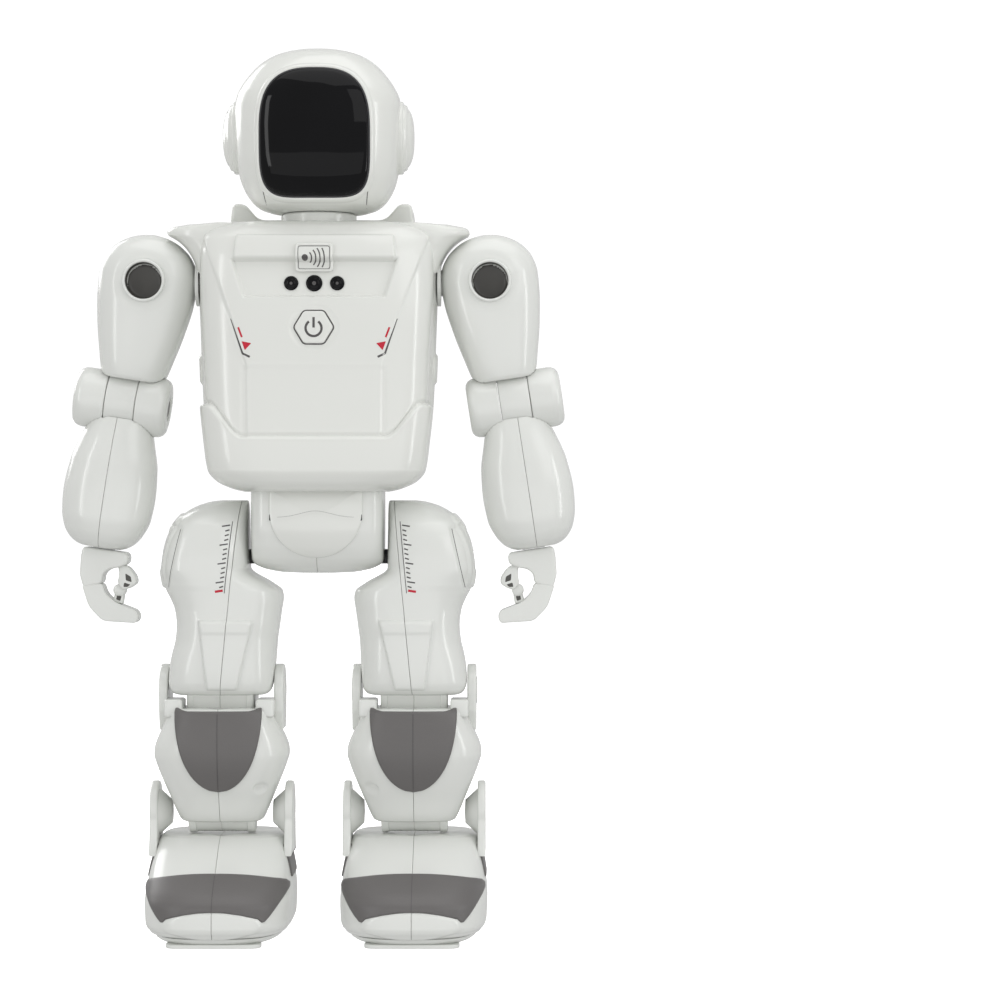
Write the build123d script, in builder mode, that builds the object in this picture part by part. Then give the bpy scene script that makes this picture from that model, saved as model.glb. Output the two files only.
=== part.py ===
"""Walking humanoid toy robot, 363 mm tall, in moulded plastic shells.

The robot faces -Y, its left side is +X, and it stands on Z = 0 with the origin between its feet.
Paired pieces are drawn once, for the left side, and mirrored in the YZ plane for the right side.
Arm pieces are drawn upright about the shoulder pivot and then leaned outwards.
"""

from build123d import *
import os

os.makedirs("parts", exist_ok=True)

# ---------------------------------------------------------------- driving dimensions, millimetres and degrees
WALL = 2.0  # moulded wall
RUN = 0.05  # radial running clearance of a pivot
SEAT = 0.1  # clearance round a piece that is dropped into a hole
PIN_R = 3.0  # moulded pivot stub

TORSO_SEAM_Y = 0.0
SHOULDER = (70.5, 0.0, 267.5)  # where the arm's pitch and raise axes meet
ARM_LEAN = 8.6  # outward lean of the hanging arm
ELBOW_X, ELBOW_Z = 2.8, -50.0  # in the arm's upright frame, from the shoulder
ELBOW_R = 12.3
WRIST_X, WRIST_Z = 1.5, -110.0

LEG_X = 39.5  # centre plane of the leg
HIP_Z = 155.0
KNEE_Z = 99.0
ANKLE_Z = 50.0
KNEE_R, ANKLE_R = 14.0, 8.7  # barrels of the upper limb's tongue
TONGUE = 13.6  # half width of the knee and ankle tongues
WHEEL_Y, WHEEL_R, WHEEL_W = 20.0, 9.0, 7.0
WHEEL_X = 18.0  # wheel centre from the leg's centre plane
AXLE_R = 1.5
GLIDE_Y = -39.5

BUTTON_Z, BUTTON_R, BUTTON_TRAVEL = 247.4, 7.9, 1.2
LENS_Z, LENS_PITCH = 265.0, 9.25
BADGE_Z, BADGE_W, BADGE_H = 275.0, 15.2, 12.0
EAR_Z, EAR_R = 327.3, 14.0
NECK_R = 15.5
BACK_Y = 49.2  # rear face of the backpack
SWITCH_TRAVEL = 3.0

ARM_PLACE = Location(SHOULDER, (0, -ARM_LEAN, 0))


# ---------------------------------------------------------------- helpers
def save(piece, label):
    """Writes one finished piece under its node name."""
    piece.label = label
    export_step(piece, f"parts/{label}.step")


def save_pair(piece, label, place=None):
    """Writes a left piece and its mirror image for the right side."""
    left = piece.moved(place) if place else piece
    save(left, f"left_{label}")
    save(mirror(left, about=Plane.YZ), f"right_{label}")


def lofted(slices, inset=0.0):
    """Closed solid through rounded slices (height, x low, x high, y low, y high, corner), each drawn in by inset."""
    with BuildPart() as body:
        for height, x_low, x_high, y_low, y_high, corner in slices:
            width = x_high - x_low - 2 * inset
            depth = y_high - y_low - 2 * inset
            radius = min(max(corner - inset, 1.0), 0.48 * min(width, depth))
            with BuildSketch(Plane.XY.offset(height)):
                with Locations(((x_low + x_high) / 2, (y_low + y_high) / 2)):
                    RectangleRounded(width, depth, radius)
        loft(ruled=True)
    return body.part


def inside(slices, open_bottom=False, open_top=False):
    """The cavity that leaves a wall all round those slices, running through an open end."""
    heights = [s[0] for s in slices]
    heights[0] += -1.0 if open_bottom else WALL
    heights[-1] += 1.0 if open_top else -WALL
    return lofted([(h, *s[1:]) for h, s in zip(heights, slices)], inset=WALL)


def about_leg(rows):
    """Slices (height, half width, y low, y high, corner) centred on the leg."""
    return [(z, LEG_X - half, LEG_X + half, y0, y1, r) for z, half, y0, y1, r in rows]


def bar(x_low, x_high, y, z, radius):
    """Round bar along X."""
    with BuildPart() as rod:
        with BuildSketch(Plane.YZ.offset(x_low)):
            with Locations((y, z)):
                Circle(radius)
        extrude(amount=x_high - x_low)
    return rod.part


def post(x, z, y_low, y_high, radius):
    """Round bar along Y."""
    with BuildPart() as rod:
        with BuildSketch(Plane.XZ.offset(-y_low)):
            with Locations((x, z)):
                Circle(radius)
        extrude(amount=y_low - y_high)
    return rod.part


def block(x_low, x_high, y_low, y_high, z_low, z_high):
    """Plain box between two corners."""
    with BuildPart() as box:
        with Locations(((x_low + x_high) / 2, (y_low + y_high) / 2, (z_low + z_high) / 2)):
            Box(x_high - x_low, y_high - y_low, z_high - z_low)
    return box.part


def ear(x_low, x_high, z, radius, foot_z):
    """Pivot cheek of a yoke: a round plate across X that runs straight down to foot_z."""
    with BuildPart() as plate:
        with BuildSketch(Plane.YZ.offset(x_low)):
            with BuildLine():
                crown = ThreePointArc((radius, z), (0, z + radius), (-radius, z))
                Polyline(crown @ 1, (-radius, foot_z), (radius, foot_z), crown @ 0)
            make_face()
        extrude(amount=x_high - x_low)
        chamfer(plate.edges().filter_by(GeomType.CIRCLE), 0.6)
    return plate.part


# ---------------------------------------------------------------- torso: front and back shell, the fixed body
TORSO = [
    (182.0, -29.0, 29.0, -24.0, 20.0, 8.0),
    (186.5, -41.0, 41.0, -31.5, 23.0, 10.0),
    (192.0, -44.6, 44.6, -35.2, 25.0, 12.0),
    (205.0, -46.0, 46.0, -36.0, 26.0, 13.0),
    (222.0, -47.4, 47.4, -34.6, 26.0, 13.0),
    (255.0, -48.8, 48.8, -34.0, 26.0, 12.0),
    (276.0, -48.5, 48.5, -32.0, 25.0, 12.0),
    (286.0, -46.5, 46.5, -27.0, 22.0, 11.0),
    (291.0, -41.0, 41.0, -20.0, 18.0, 9.0),
]
torso_solid = lofted(TORSO)
torso_cavity = inside(TORSO)

with BuildPart() as shoulder_wings:  # epaulettes that roof the arms, hollowed by a round pocket
    with BuildSketch(Plane.XZ.offset(-15)):
        with BuildLine():
            Polyline((38, 256), (48.9, 256), (48.9, 278.5), (61.5, 286.4), (60.5, 289), (54, 291), (38, 291), (38, 256))
        make_face()
        with Locations((SHOULDER[0], SHOULDER[2])):
            Circle(22.0, mode=Mode.SUBTRACT)
    extrude(amount=30)
    mirror(about=Plane.YZ)

with BuildPart() as torso_shell:
    add(torso_solid)
    add(shoulder_wings.part)
    add(torso_cavity, mode=Mode.SUBTRACT)
    for side in (-1, 1):
        add(bar(side * 49 - 6, side * 49 + 6, 0, SHOULDER[2], 5.5), mode=Mode.SUBTRACT)
    add(bar(-4, 4, 0, 292, 0.5), mode=Mode.SUBTRACT)
    with BuildSketch(Plane.XY.offset(284)):
        Circle(9.0)  # neck opening
    extrude(amount=10, mode=Mode.SUBTRACT)
    with BuildSketch(Plane.XY.offset(181)):
        Circle(9.0)  # cable way to the pelvis
    extrude(amount=6, mode=Mode.SUBTRACT)

with BuildPart() as chest_openings:
    with BuildSketch(Plane.XZ.offset(20)):
        with Locations((0, BUTTON_Z)):
            RegularPolygon(BUTTON_R + 0.25, 6)
        with Locations((0, LENS_Z), (-LENS_PITCH, LENS_Z), (LENS_PITCH, LENS_Z)):
            Circle(3.1 + SEAT)
        with Locations((0, BADGE_Z)):
            RectangleRounded(BADGE_W + 2 * SEAT, BADGE_H + 2 * SEAT, 1.5)
    extrude(amount=20)

with BuildPart() as torso_front_shell:
    add(torso_shell.part)
    add(chest_openings.part, mode=Mode.SUBTRACT)
    split(bisect_by=Plane.XZ.offset(-TORSO_SEAM_Y), keep=Keep.TOP)
save(torso_front_shell.part, "torso_front_shell")

with BuildPart() as torso_back_shell:
    add(torso_shell.part)
    split(bisect_by=Plane.XZ.offset(-TORSO_SEAM_Y), keep=Keep.BOTTOM)
    with BuildSketch(Plane.XZ.offset(-20)):
        with Locations((0, 232)):
            Rectangle(30, 12)  # wires to the battery and speaker
    extrude(amount=-10, mode=Mode.SUBTRACT)
save(torso_back_shell.part, "torso_back_shell")

# Motion sensor badge in the brow, and the three sensor lenses below it.
with BuildPart() as gesture_badge:
    with BuildSketch(Plane.XZ.offset(29.5)):
        with Locations((0, BADGE_Z)):
            RectangleRounded(BADGE_W, BADGE_H, 1.5)
    extrude(amount=6.0)
    chamfer(gesture_badge.faces().sort_by(Axis.Y)[0].edges(), 0.5)
save(gesture_badge.part, "gesture_badge")

with BuildPart() as sensor_lenses:
    with BuildSketch(Plane.XZ.offset(29.0)):
        with Locations((0, LENS_Z), (-LENS_PITCH, LENS_Z), (LENS_PITCH, LENS_Z)):
            Circle(3.1)
    extrude(amount=5.2)
save(sensor_lenses.part, "sensor_lenses")

# Hexagonal power button with its retaining flange behind the wall.
with BuildPart() as power_button:
    with BuildSketch(Plane.XZ.offset(28.0)):
        with Locations((0, BUTTON_Z)):
            RegularPolygon(BUTTON_R, 6)
    extrude(amount=7.3)
    chamfer(power_button.faces().sort_by(Axis.Y)[0].edges(), 0.5)
    with BuildSketch(Plane.XZ.offset(27.0)):
        with Locations((0, BUTTON_Z)):
            Circle(BUTTON_R + 1.8)
    extrude(amount=3.0)
save(power_button.part, "power_button")

with BuildPart() as main_board:
    add(block(-34, 34, -12, -10.4, 200, 262))
    add(block(-12, 12, -15, -12, 222, 238))
    add(block(-5, 5, -24, -12, BUTTON_Z - 5, BUTTON_Z + 5))  # push switch behind the button
save(main_board.part, "main_board")

# ---------------------------------------------------------------- backpack: shell, battery, door, speaker, switch
with BuildPart() as backpack_solid:
    with BuildSketch(Plane.XZ.offset(-BACK_Y)):
        with BuildLine() as outline:
            half = Polyline((0, 204), (30, 204), (37, 211), (39, 262), (38.6, 302.3), (32.5, 302.3), (26.5, 295.5), (0, 295.5))
            mirror(half, about=Plane.YZ)
        make_face()
    extrude(amount=32)
    chamfer(backpack_solid.faces().sort_by(Axis.Y)[-1].edges(), 3.0)

with BuildPart() as backpack_cavity:
    with BuildSketch(Plane.XZ.offset(-(BACK_Y - WALL))):
        with Locations((0, 247)):
            RectangleRounded(68, 78, 4)
    extrude(amount=28)

DOOR = (-24.0, 24.0, 212.0, 246.0)  # x low, x high, z low, z high
with BuildPart() as backpack_shell:
    add(backpack_solid.part)
    add(backpack_cavity.part, mode=Mode.SUBTRACT)
    add(torso_solid, mode=Mode.SUBTRACT)
    add(bar(-60, 60, 0, 290, 20.6), mode=Mode.SUBTRACT)
    add(block(DOOR[0] - SEAT, DOOR[1] + SEAT, BACK_Y - 3, BACK_Y + 1, DOOR[2] - SEAT, DOOR[3] + SEAT), mode=Mode.SUBTRACT)
    with BuildSketch(Plane.XZ.offset(-(BACK_Y + 1))):
        with GridLocations(0, 4.0, 1, 6):
            with Locations((0, 268)):
                SlotOverall(26, 1.6)  # speaker grille
        with Locations((29.5, 226)):
            Rectangle(3.4, 10.0)  # slide switch slot
        with Locations((-29.5, 226)):
            Circle(1.8)  # charging socket
        with Locations((-31, 286), (31, 286), (-31, 256), (31, 256)):
            Circle(1.5)
    extrude(amount=6, mode=Mode.SUBTRACT)
save(backpack_shell.part, "backpack_shell")

with BuildPart() as battery_door:
    add(block(DOOR[0], DOOR[1], BACK_Y - WALL, BACK_Y, DOOR[2], DOOR[3]))
    fillet(battery_door.edges().filter_by(Axis.Y), 1.5)
    with BuildSketch(Plane.XZ.offset(-BACK_Y)):
        with Locations((0, DOOR[3] - 4)):
            Circle(1.5)
    extrude(amount=4, mode=Mode.SUBTRACT)
    with BuildSketch(Plane.XZ.offset(-BACK_Y)):
        with GridLocations(0, 3.0, 1, 4):
            with Locations((0, 226)):
                SlotOverall(30, 1.0)  # finger ribs
    extrude(amount=0.6, mode=Mode.SUBTRACT)
save(battery_door.part, "battery_door")

with BuildPart() as battery_pack:
    add(block(-21, 21, BACK_Y - 17, BACK_Y - 6, 214, 242))
    fillet(battery_pack.edges().filter_by(Axis.X), 4.0)
save(battery_pack.part, "battery_pack")

with BuildPart() as speaker:
    add(post(0, 268, BACK_Y - 11, BACK_Y - 8, 14.0))
    add(post(0, 268, BACK_Y - 15.5, BACK_Y - 11, 8.0))
    add(post(0, 268, BACK_Y - 8, BACK_Y - 6, 13.0))
save(speaker.part, "speaker")

with BuildPart() as power_switch:
    add(block(28.0, 31.0, BACK_Y - 6, BACK_Y + 1.2, 222.5, 226.0))
    add(block(27.0, 32.0, BACK_Y - 8, BACK_Y - 4, 220.0, 228.5))
save(power_switch.part, "power_switch")

with BuildPart() as body_screws:
    for screw_x, screw_z in ((-31, 286), (31, 286), (-31, 256), (31, 256), (0, DOOR[3] - 4)):
        add(post(screw_x, screw_z, BACK_Y - 4.5, BACK_Y + 0.2, 1.4))
        add(post(screw_x, screw_z, BACK_Y + 0.2, BACK_Y + 1.2, 2.4))
        with BuildSketch(Plane.XZ.offset(-(BACK_Y + 1.2))):
            with Locations((screw_x, screw_z)):
                Rectangle(2.8, 0.6)
                Rectangle(0.6, 2.8)
        extrude(amount=0.7, mode=Mode.SUBTRACT)
save(body_screws.part, "body_screws")

# ---------------------------------------------------------------- pelvis: two shells, front cover, walking gearbox
PELVIS_HALF, PELVIS_TOP, PELVIS_Y, PELVIS_R = 27.2, 182.0, -2.0, 20.0


def pelvis_form(grow):
    """Pelvis block grown outwards by grow: straight above, rounded front to back, and bellied below."""
    half, radius = PELVIS_HALF + min(grow, 0), PELVIS_R + grow
    with BuildPart() as form:
        with BuildSketch(Plane.XZ.offset(30)):
            with BuildLine():
                low = Line((-half, 153.6 - grow), (-half, PELVIS_TOP + min(grow, 0)))
                top = Line(low @ 1, (half, PELVIS_TOP + min(grow, 0)))
                right = Line(top @ 1, (half, 153.6 - grow))
                ThreePointArc(right @ 1, (0, 148.0 - grow), low @ 0)
            make_face()
        extrude(amount=-60)
        with BuildSketch(Plane.YZ.offset(-half - 1)):
            with Locations((PELVIS_Y, 168)):
                Circle(radius)
            with Locations((PELVIS_Y, 178)):
                Rectangle(2 * radius, 20)
        extrude(amount=2 * half + 2, mode=Mode.INTERSECT)
    return form.part


pelvis_outer = pelvis_form(0)
with BuildPart() as pelvis_shell:
    add(pelvis_outer)
    add(pelvis_form(-WALL), mode=Mode.SUBTRACT)
    add(bar(-40, 40, 0, HIP_Z, 3.4), mode=Mode.SUBTRACT)
    with BuildSketch(Plane.XY.offset(178)):
        Circle(9.0)
    extrude(amount=6, mode=Mode.SUBTRACT)

with BuildPart() as left_pelvis_shell:
    add(pelvis_shell.part)
    split(bisect_by=Plane.YZ, keep=Keep.TOP)
save_pair(left_pelvis_shell.part, "pelvis_shell")

with BuildPart() as pelvis_front_cover:
    with BuildSketch(Plane.XZ.offset(30)):
        with BuildLine():
            side = Line((19.3, 180.5), (19.3, 172))
            bottom = ThreePointArc(side @ 1, (0, 154.2), (-19.3, 172))
            Polyline(bottom @ 1, (-19.3, 180.5), side @ 0)
        make_face()
    extrude(amount=-20)
    add(pelvis_form(1.2), mode=Mode.INTERSECT)
    add(pelvis_outer, mode=Mode.SUBTRACT)
save(pelvis_front_cover.part, "pelvis_front_cover")

with BuildPart() as walk_gearbox:
    add(block(-19, 19, -12, 9.5, 156.0, 172.0))
    fillet(walk_gearbox.edges().filter_by(Axis.X), 3.0)
    add(bar(-19, 4, 0, 172, 6.0))  # drive motor on top
    add(bar(-35, 35, 0, HIP_Z, PIN_R))  # output stubs of the two legs
save(walk_gearbox.part, "walk_gearbox")

with BuildPart() as neck_post:
    with BuildSketch(Plane.XY.offset(291)):
        Circle(NECK_R)
    extrude(amount=4.6)
    chamfer(neck_post.faces().sort_by(Axis.Z)[-1].edges(), 0.6)
    with BuildSketch(Plane.XY.offset(287)):
        Circle(8.9)
    extrude(amount=4)
    with BuildSketch(Plane.XY.offset(295)):
        Circle(6.0)
    extrude(amount=5)
    with BuildSketch(Plane.XY.offset(298.4)):
        Circle(9.0)  # flange that holds the head down
    extrude(amount=2)
save(neck_post.part, "neck_post")

# ---------------------------------------------------------------- head: helmet halves, visor, ear pods, eye board
HEAD = [
    (296.0, -15.5, 15.5, -15.0, 15.0, 7.0),
    (298.4, -24.0, 24.0, -23.5, 23.5, 12.0),
    (302.5, -29.0, 29.0, -28.5, 28.5, 16.0),
    (310.0, -32.4, 32.4, -32.0, 32.0, 19.0),
    (322.0, -33.3, 33.3, -33.2, 33.5, 20.0),
    (336.0, -33.0, 33.0, -33.0, 33.5, 20.0),
    (346.0, -30.9, 30.9, -31.5, 31.5, 19.0),
    (353.5, -26.6, 26.6, -28.0, 27.5, 17.0),
    (359.0, -20.8, 20.8, -22.5, 21.5, 14.0),
    (362.4, -13.5, 13.5, -15.0, 14.0, 9.0),
    (363.5, -7.0, 7.0, -8.0, 7.5, 5.0),
]
head_solid = lofted(HEAD)
with BuildPart() as visor_window:
    with BuildSketch(Plane.XZ.offset(40)) as window_face:
        with BuildLine():
            left_side = Line((-21.5, 306.5), (-22.3, 338.5))
            crown = ThreePointArc(left_side @ 1, (0, 351.7), (22.3, 338.5))
            right_side = Line(crown @ 1, (21.5, 306.5))
            ThreePointArc(right_side @ 1, (0, 299.3), left_side @ 0)
        make_face()
        fillet(window_face.vertices(), 6.0)
    extrude(amount=-30)

with BuildPart() as ear_seats:
    add(bar(-50, -31.0, 0, EAR_Z, EAR_R + SEAT))
    add(bar(31.0, 50, 0, EAR_Z, EAR_R + SEAT))

with BuildPart() as helmet:
    add(head_solid)
    add(inside(HEAD), mode=Mode.SUBTRACT)
    add(visor_window.part, mode=Mode.SUBTRACT)
    add(ear_seats.part, mode=Mode.SUBTRACT)
    with BuildSketch(Plane.XY.offset(290)):
        Circle(6.0 + RUN)
    extrude(amount=12, mode=Mode.SUBTRACT)

HEAD_SEAM_Y = 4.0
with BuildPart() as head_front_shell:
    add(helmet.part)
    split(bisect_by=Plane.XZ.offset(-HEAD_SEAM_Y), keep=Keep.TOP)
save(head_front_shell.part, "head_front_shell")

with BuildPart() as head_back_shell:
    add(helmet.part)
    split(bisect_by=Plane.XZ.offset(-HEAD_SEAM_Y), keep=Keep.BOTTOM)
save(head_back_shell.part, "head_back_shell")

with BuildPart() as visor:
    add(head_solid)
    add(inside(HEAD), mode=Mode.SUBTRACT)
    add(visor_window.part, mode=Mode.INTERSECT)
save(visor.part, "visor")

with BuildPart() as ear_pods:
    with BuildSketch(Plane.XZ):
        with BuildLine():
            Polyline((31.0, 0), (31.0, EAR_R), (34.6, EAR_R), (35.4, 13.2), (36.8, 13.2), (37.4, 10.6), (38.6, 10.0),
                     (39.3, 8.8), (39.3, 0), (31.0, 0))
        make_face()
    revolve(axis=Axis.X)
    mirror(about=Plane.YZ)
save(ear_pods.part.moved(Location((0, 0, EAR_Z))), "ear_pods")

with BuildPart() as eye_board:
    add(block(-18, 18, -25, -23.6, 312, 342))
    for eye_x in (-9, 9):
        add(post(eye_x, 329, -28.5, -25, 2.5))
    for peg_z in (319, 337):
        add(post(0, peg_z, -23.6, 30.6, 2.0))  # pegs that hold the board against the back shell
save(eye_board.part, "eye_board")

# ---------------------------------------------------------------- arm, upright about the shoulder pivot
UPPER_ARM = [
    (-40.5, -10.5, 11.0, -11.5, 11.5, 6.0),
    (-38.0, -12.6, 13.0, -13.2, 13.2, 7.0),
    (-30.0, -14.8, 15.2, -14.6, 14.6, 9.0),
    (-16.0, -17.6, 17.9, -15.6, 15.6, 11.0),
    (-2.0, -19.5, 19.4, -15.8, 15.8, 12.0),
    (7.0, -18.3, 18.3, -15.0, 15.0, 11.0),
    (14.0, -14.0, 14.0, -12.2, 12.2, 9.0),
    (18.0, -8.6, 8.6, -8.0, 8.0, 6.0),
    (19.6, -4.6, 4.6, -4.6, 4.6, 3.5),
]
SOCKET_R, SOCKET_Y = 7.3, -10.0  # grey cup in the shoulder, and the depth of its floor
KNUCKLE = (ELBOW_X - 6.25, ELBOW_X + 6.25)

with BuildPart() as elbow_sweep:  # room for the forearm's cheeks, either side of the knuckle
    add(bar(-30, KNUCKLE[0], 0, ELBOW_Z, ELBOW_R + 0.5))
    add(bar(KNUCKLE[1], 30, 0, ELBOW_Z, ELBOW_R + 0.5))

with BuildPart() as upper_arm_shell:
    add(lofted(UPPER_ARM))
    add(inside(UPPER_ARM), mode=Mode.SUBTRACT)
    add(post(0, 0, -17.6, -6.2, 8.4))  # socket boss and bearing at the front
    add(post(0, 0, 6.2, 16.0, 6.5))
    add(post(0, 0, -18, SOCKET_Y, SOCKET_R + RUN), mode=Mode.SUBTRACT)
    add(post(0, 0, -9.2, 9.2, 4.0 + RUN), mode=Mode.SUBTRACT)
    add(elbow_sweep.part, mode=Mode.SUBTRACT)
    add(bar(KNUCKLE[0] - 0.01, KNUCKLE[1] + 0.01, 0, ELBOW_Z, ELBOW_R), mode=Mode.SUBTRACT)
    add(block(-30, 0, -6.1, 6.1, -8.5, 30), mode=Mode.SUBTRACT)  # the hub's neck swings through this slot
    add(block(-1, 6, -6.1, 6.1, 9, 30), mode=Mode.SUBTRACT)

with BuildPart() as upper_arm_front_shell:
    add(upper_arm_shell.part)
    split(bisect_by=Plane.XZ, keep=Keep.TOP)
save_pair(upper_arm_front_shell.part, "upper_arm_front_shell", ARM_PLACE)

with BuildPart() as upper_arm_back_shell:
    add(upper_arm_shell.part)
    split(bisect_by=Plane.XZ, keep=Keep.BOTTOM)
save_pair(upper_arm_back_shell.part, "upper_arm_back_shell", ARM_PLACE)

with BuildPart() as shoulder_socket:
    add(post(0, 0, -18.2, SOCKET_Y, SOCKET_R))
    add(post(0, 0, -19, SOCKET_Y - 1.2, SOCKET_R - 0.6), mode=Mode.SUBTRACT)
save_pair(shoulder_socket.part, "shoulder_socket", ARM_PLACE)

with BuildPart() as elbow_knuckle:
    add(bar(KNUCKLE[0], KNUCKLE[1], 0, ELBOW_Z, ELBOW_R - 0.02))
    add(bar(-30, 30, 0, ELBOW_Z, PIN_R + RUN), mode=Mode.SUBTRACT)
save_pair(elbow_knuckle.part, "elbow_knuckle", ARM_PLACE)

with BuildPart() as shoulder_hub:
    add(bar(48.95, 50.3, 0, SHOULDER[2], 9.5))
    add(bar(46.4, 62.0, 0, SHOULDER[2], 5.4))
    add(bar(44.0, 46.4, 0, SHOULDER[2], 7.5))  # retaining flange inside the torso
    add(block(56.0, SHOULDER[0], -4.6, 4.6, SHOULDER[2] - 4.6, SHOULDER[2] + 4.6))
    add(post(SHOULDER[0], SHOULDER[2], -5.6, 5.6, 7.0))
    add(post(SHOULDER[0], SHOULDER[2], -8.9, 8.9, 4.0))
save_pair(shoulder_hub.part, "shoulder_hub")

FOREARM = [
    (-109.8, -6.5, 12.0, -9.5, 9.5, 5.0),
    (-107.5, -9.2, 14.8, -12.0, 12.0, 7.0),
    (-101.0, -13.2, 18.8, -15.0, 15.0, 9.0),
    (-90.0, -15.3, 21.0, -16.8, 16.8, 11.0),
    (-78.0, -14.9, 20.4, -16.2, 16.2, 11.0),
    (-66.0, -12.8, 18.2, -13.6, 13.6, 9.0),
    (-58.5, -11.0, 16.4, -11.4, 11.4, 7.0),
]
with BuildPart() as forearm_shell:
    add(lofted(FOREARM))
    add(inside(FOREARM), mode=Mode.SUBTRACT)
    add(bar(-16.5, 22.2, 0, ELBOW_Z, ELBOW_R))
    fillet(forearm_shell.edges().filter_by(GeomType.CIRCLE).group_by(Axis.X)[0], 3.0)
    fillet(forearm_shell.edges().filter_by(GeomType.CIRCLE).group_by(Axis.X)[-1], 3.0)
    add(bar(KNUCKLE[0] - 0.35, KNUCKLE[1] + 0.35, 0, ELBOW_Z, ELBOW_R + 0.4), mode=Mode.SUBTRACT)
    add(bar(KNUCKLE[0] - 1, ELBOW_X - 0.2, 0, ELBOW_Z, PIN_R))
    add(bar(ELBOW_X + 0.2, KNUCKLE[1] + 1, 0, ELBOW_Z, PIN_R))
    with BuildSketch(Plane.XY.offset(WRIST_Z - 1)):
        with Locations((WRIST_X, 0)):
            Circle(4.0 + RUN)
    extrude(amount=6, mode=Mode.SUBTRACT)

with BuildPart() as forearm_outer_shell:
    add(forearm_shell.part)
    split(bisect_by=Plane.YZ.offset(ELBOW_X), keep=Keep.TOP)
save_pair(forearm_outer_shell.part, "forearm_outer_shell", ARM_PLACE)

with BuildPart() as forearm_inner_shell:
    add(forearm_shell.part)
    split(bisect_by=Plane.YZ.offset(ELBOW_X), keep=Keep.BOTTOM)
save_pair(forearm_inner_shell.part, "forearm_inner_shell", ARM_PLACE)

# Hand: a palm on a swivel stem, hooked fingers and a thumb that closes the grip.
HAND_T = 6.0  # half thickness of the palm
with BuildPart() as hand:
    with BuildSketch(Plane.XZ.offset(-HAND_T)):
        with BuildLine():
            heel = Polyline((-6.6, -116.5), (-7.6, WRIST_Z - 0.4), (9.6, WRIST_Z - 0.4), (9.9, -120.0))
            knuckles = ThreePointArc(heel @ 1, (7.4, -130.0), (-1.2, -138.4))
            tip = Polyline(knuckles @ 1, (-16.6, -140.2), (-17.4, -137.6), (-9.0, -135.2))
            crook = ThreePointArc(tip @ 1, (1.2, -131.0), (2.8, -124.0))
            ThreePointArc(crook @ 1, (0.6, -119.4), heel @ 0)
        make_face()
    extrude(amount=2 * HAND_T)
    with BuildSketch(Plane.XZ.offset(-4.0)):
        with BuildLine():
            Polyline((-3.0, -117.6), (-7.5, -116.4), (-10.2, -118.4), (-14.2, -126.4), (-10.4, -131.2), (-9.6, -135.4),
                     (-6.2, -135.0), (-6.6, -130.4), (-9.6, -126.0), (-6.8, -120.6), (-3.0, -117.6))
        make_face()
    extrude(amount=8.0)
    with BuildSketch(Plane.XY.offset(WRIST_Z - 0.5)):
        with Locations((WRIST_X, 0)):
            Circle(4.0)
    extrude(amount=3.6)
    with BuildSketch(Plane.XY.offset(WRIST_Z + 2.5)):
        with Locations((WRIST_X, 0)):
            Circle(5.4)  # flange that holds the hand in the forearm
    extrude(amount=1.6)
save_pair(hand.part, "hand", ARM_PLACE)

# ---------------------------------------------------------------- leg: thigh
THIGH = [
    (98.5, 20.5, 58.5, -20.0, 5.0, 6.0),
    (101.0, 18.9, 60.1, -21.5, 8.5, 8.0),
    (107.0, 18.6, 60.4, -22.0, 15.0, 9.0),
    (118.0, 17.8, 59.6, -22.0, 20.0, 10.0),
    (130.0, 16.2, 60.8, -22.5, 22.0, 11.0),
    (139.0, 15.6, 63.8, -23.0, 23.0, 12.0),
    (144.0, 21.5, 65.8, -23.8, 23.8, 13.0),
    (149.0, 28.8, 66.7, -24.0, 24.0, 13.0),
    (160.0, 28.9, 65.0, -23.0, 23.0, 13.0),
    (168.0, 28.9, 60.8, -19.5, 19.5, 12.0),
    (174.0, 28.9, 54.5, -14.0, 14.0, 10.0),
    (178.0, 29.0, 47.0, -7.0, 7.0, 6.0),
]
with BuildPart() as thigh_shell:
    add(lofted(THIGH))
    add(inside(THIGH), mode=Mode.SUBTRACT)
    add(bar(28.8, 33.0, 0, HIP_Z, 7.0))  # hip bearing
    add(bar(LEG_X - TONGUE, LEG_X + TONGUE, 0, KNEE_Z, KNEE_R))
    add(block(LEG_X - TONGUE, LEG_X + TONGUE, -14.0, 3.0, KNEE_Z, KNEE_Z + 15))
    add(bar(20, 36.5, 0, HIP_Z, PIN_R + RUN), mode=Mode.SUBTRACT)
    add(bar(10, LEG_X - TONGUE - 0.01, 0, KNEE_Z, PIN_R + RUN), mode=Mode.SUBTRACT)
    add(bar(LEG_X + TONGUE + 0.01, 70, 0, KNEE_Z, PIN_R + RUN), mode=Mode.SUBTRACT)

with BuildPart() as thigh_outer_shell:
    add(thigh_shell.part)
    split(bisect_by=Plane.YZ.offset(LEG_X), keep=Keep.TOP)
save_pair(thigh_outer_shell.part, "thigh_outer_shell")

with BuildPart() as thigh_inner_shell:
    add(thigh_shell.part)
    split(bisect_by=Plane.YZ.offset(LEG_X), keep=Keep.BOTTOM)
save_pair(thigh_inner_shell.part, "thigh_inner_shell")

# ---------------------------------------------------------------- leg: shin with its knee yoke
SHIN = about_leg([
    (46.5, 16.6, -12.0, 12.0, 5.0),
    (50.0, 18.0, -15.0, 14.0, 6.0),
    (62.0, 23.0, -21.5, 18.0, 8.0),
    (75.0, 27.7, -25.0, 20.0, 9.0),
    (84.0, 24.6, -25.4, 16.0, 8.0),
    (91.0, 21.8, -24.8, 9.0, 7.0),
    (93.5, 20.4, -23.8, 6.5, 6.0),
])
shin_solid = lofted(SHIN)
KNEE_EAR = (21.7, 25.4)  # inner and outer face, from the leg's centre plane
ANKLE_EAR = (25.9, 29.2)

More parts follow.
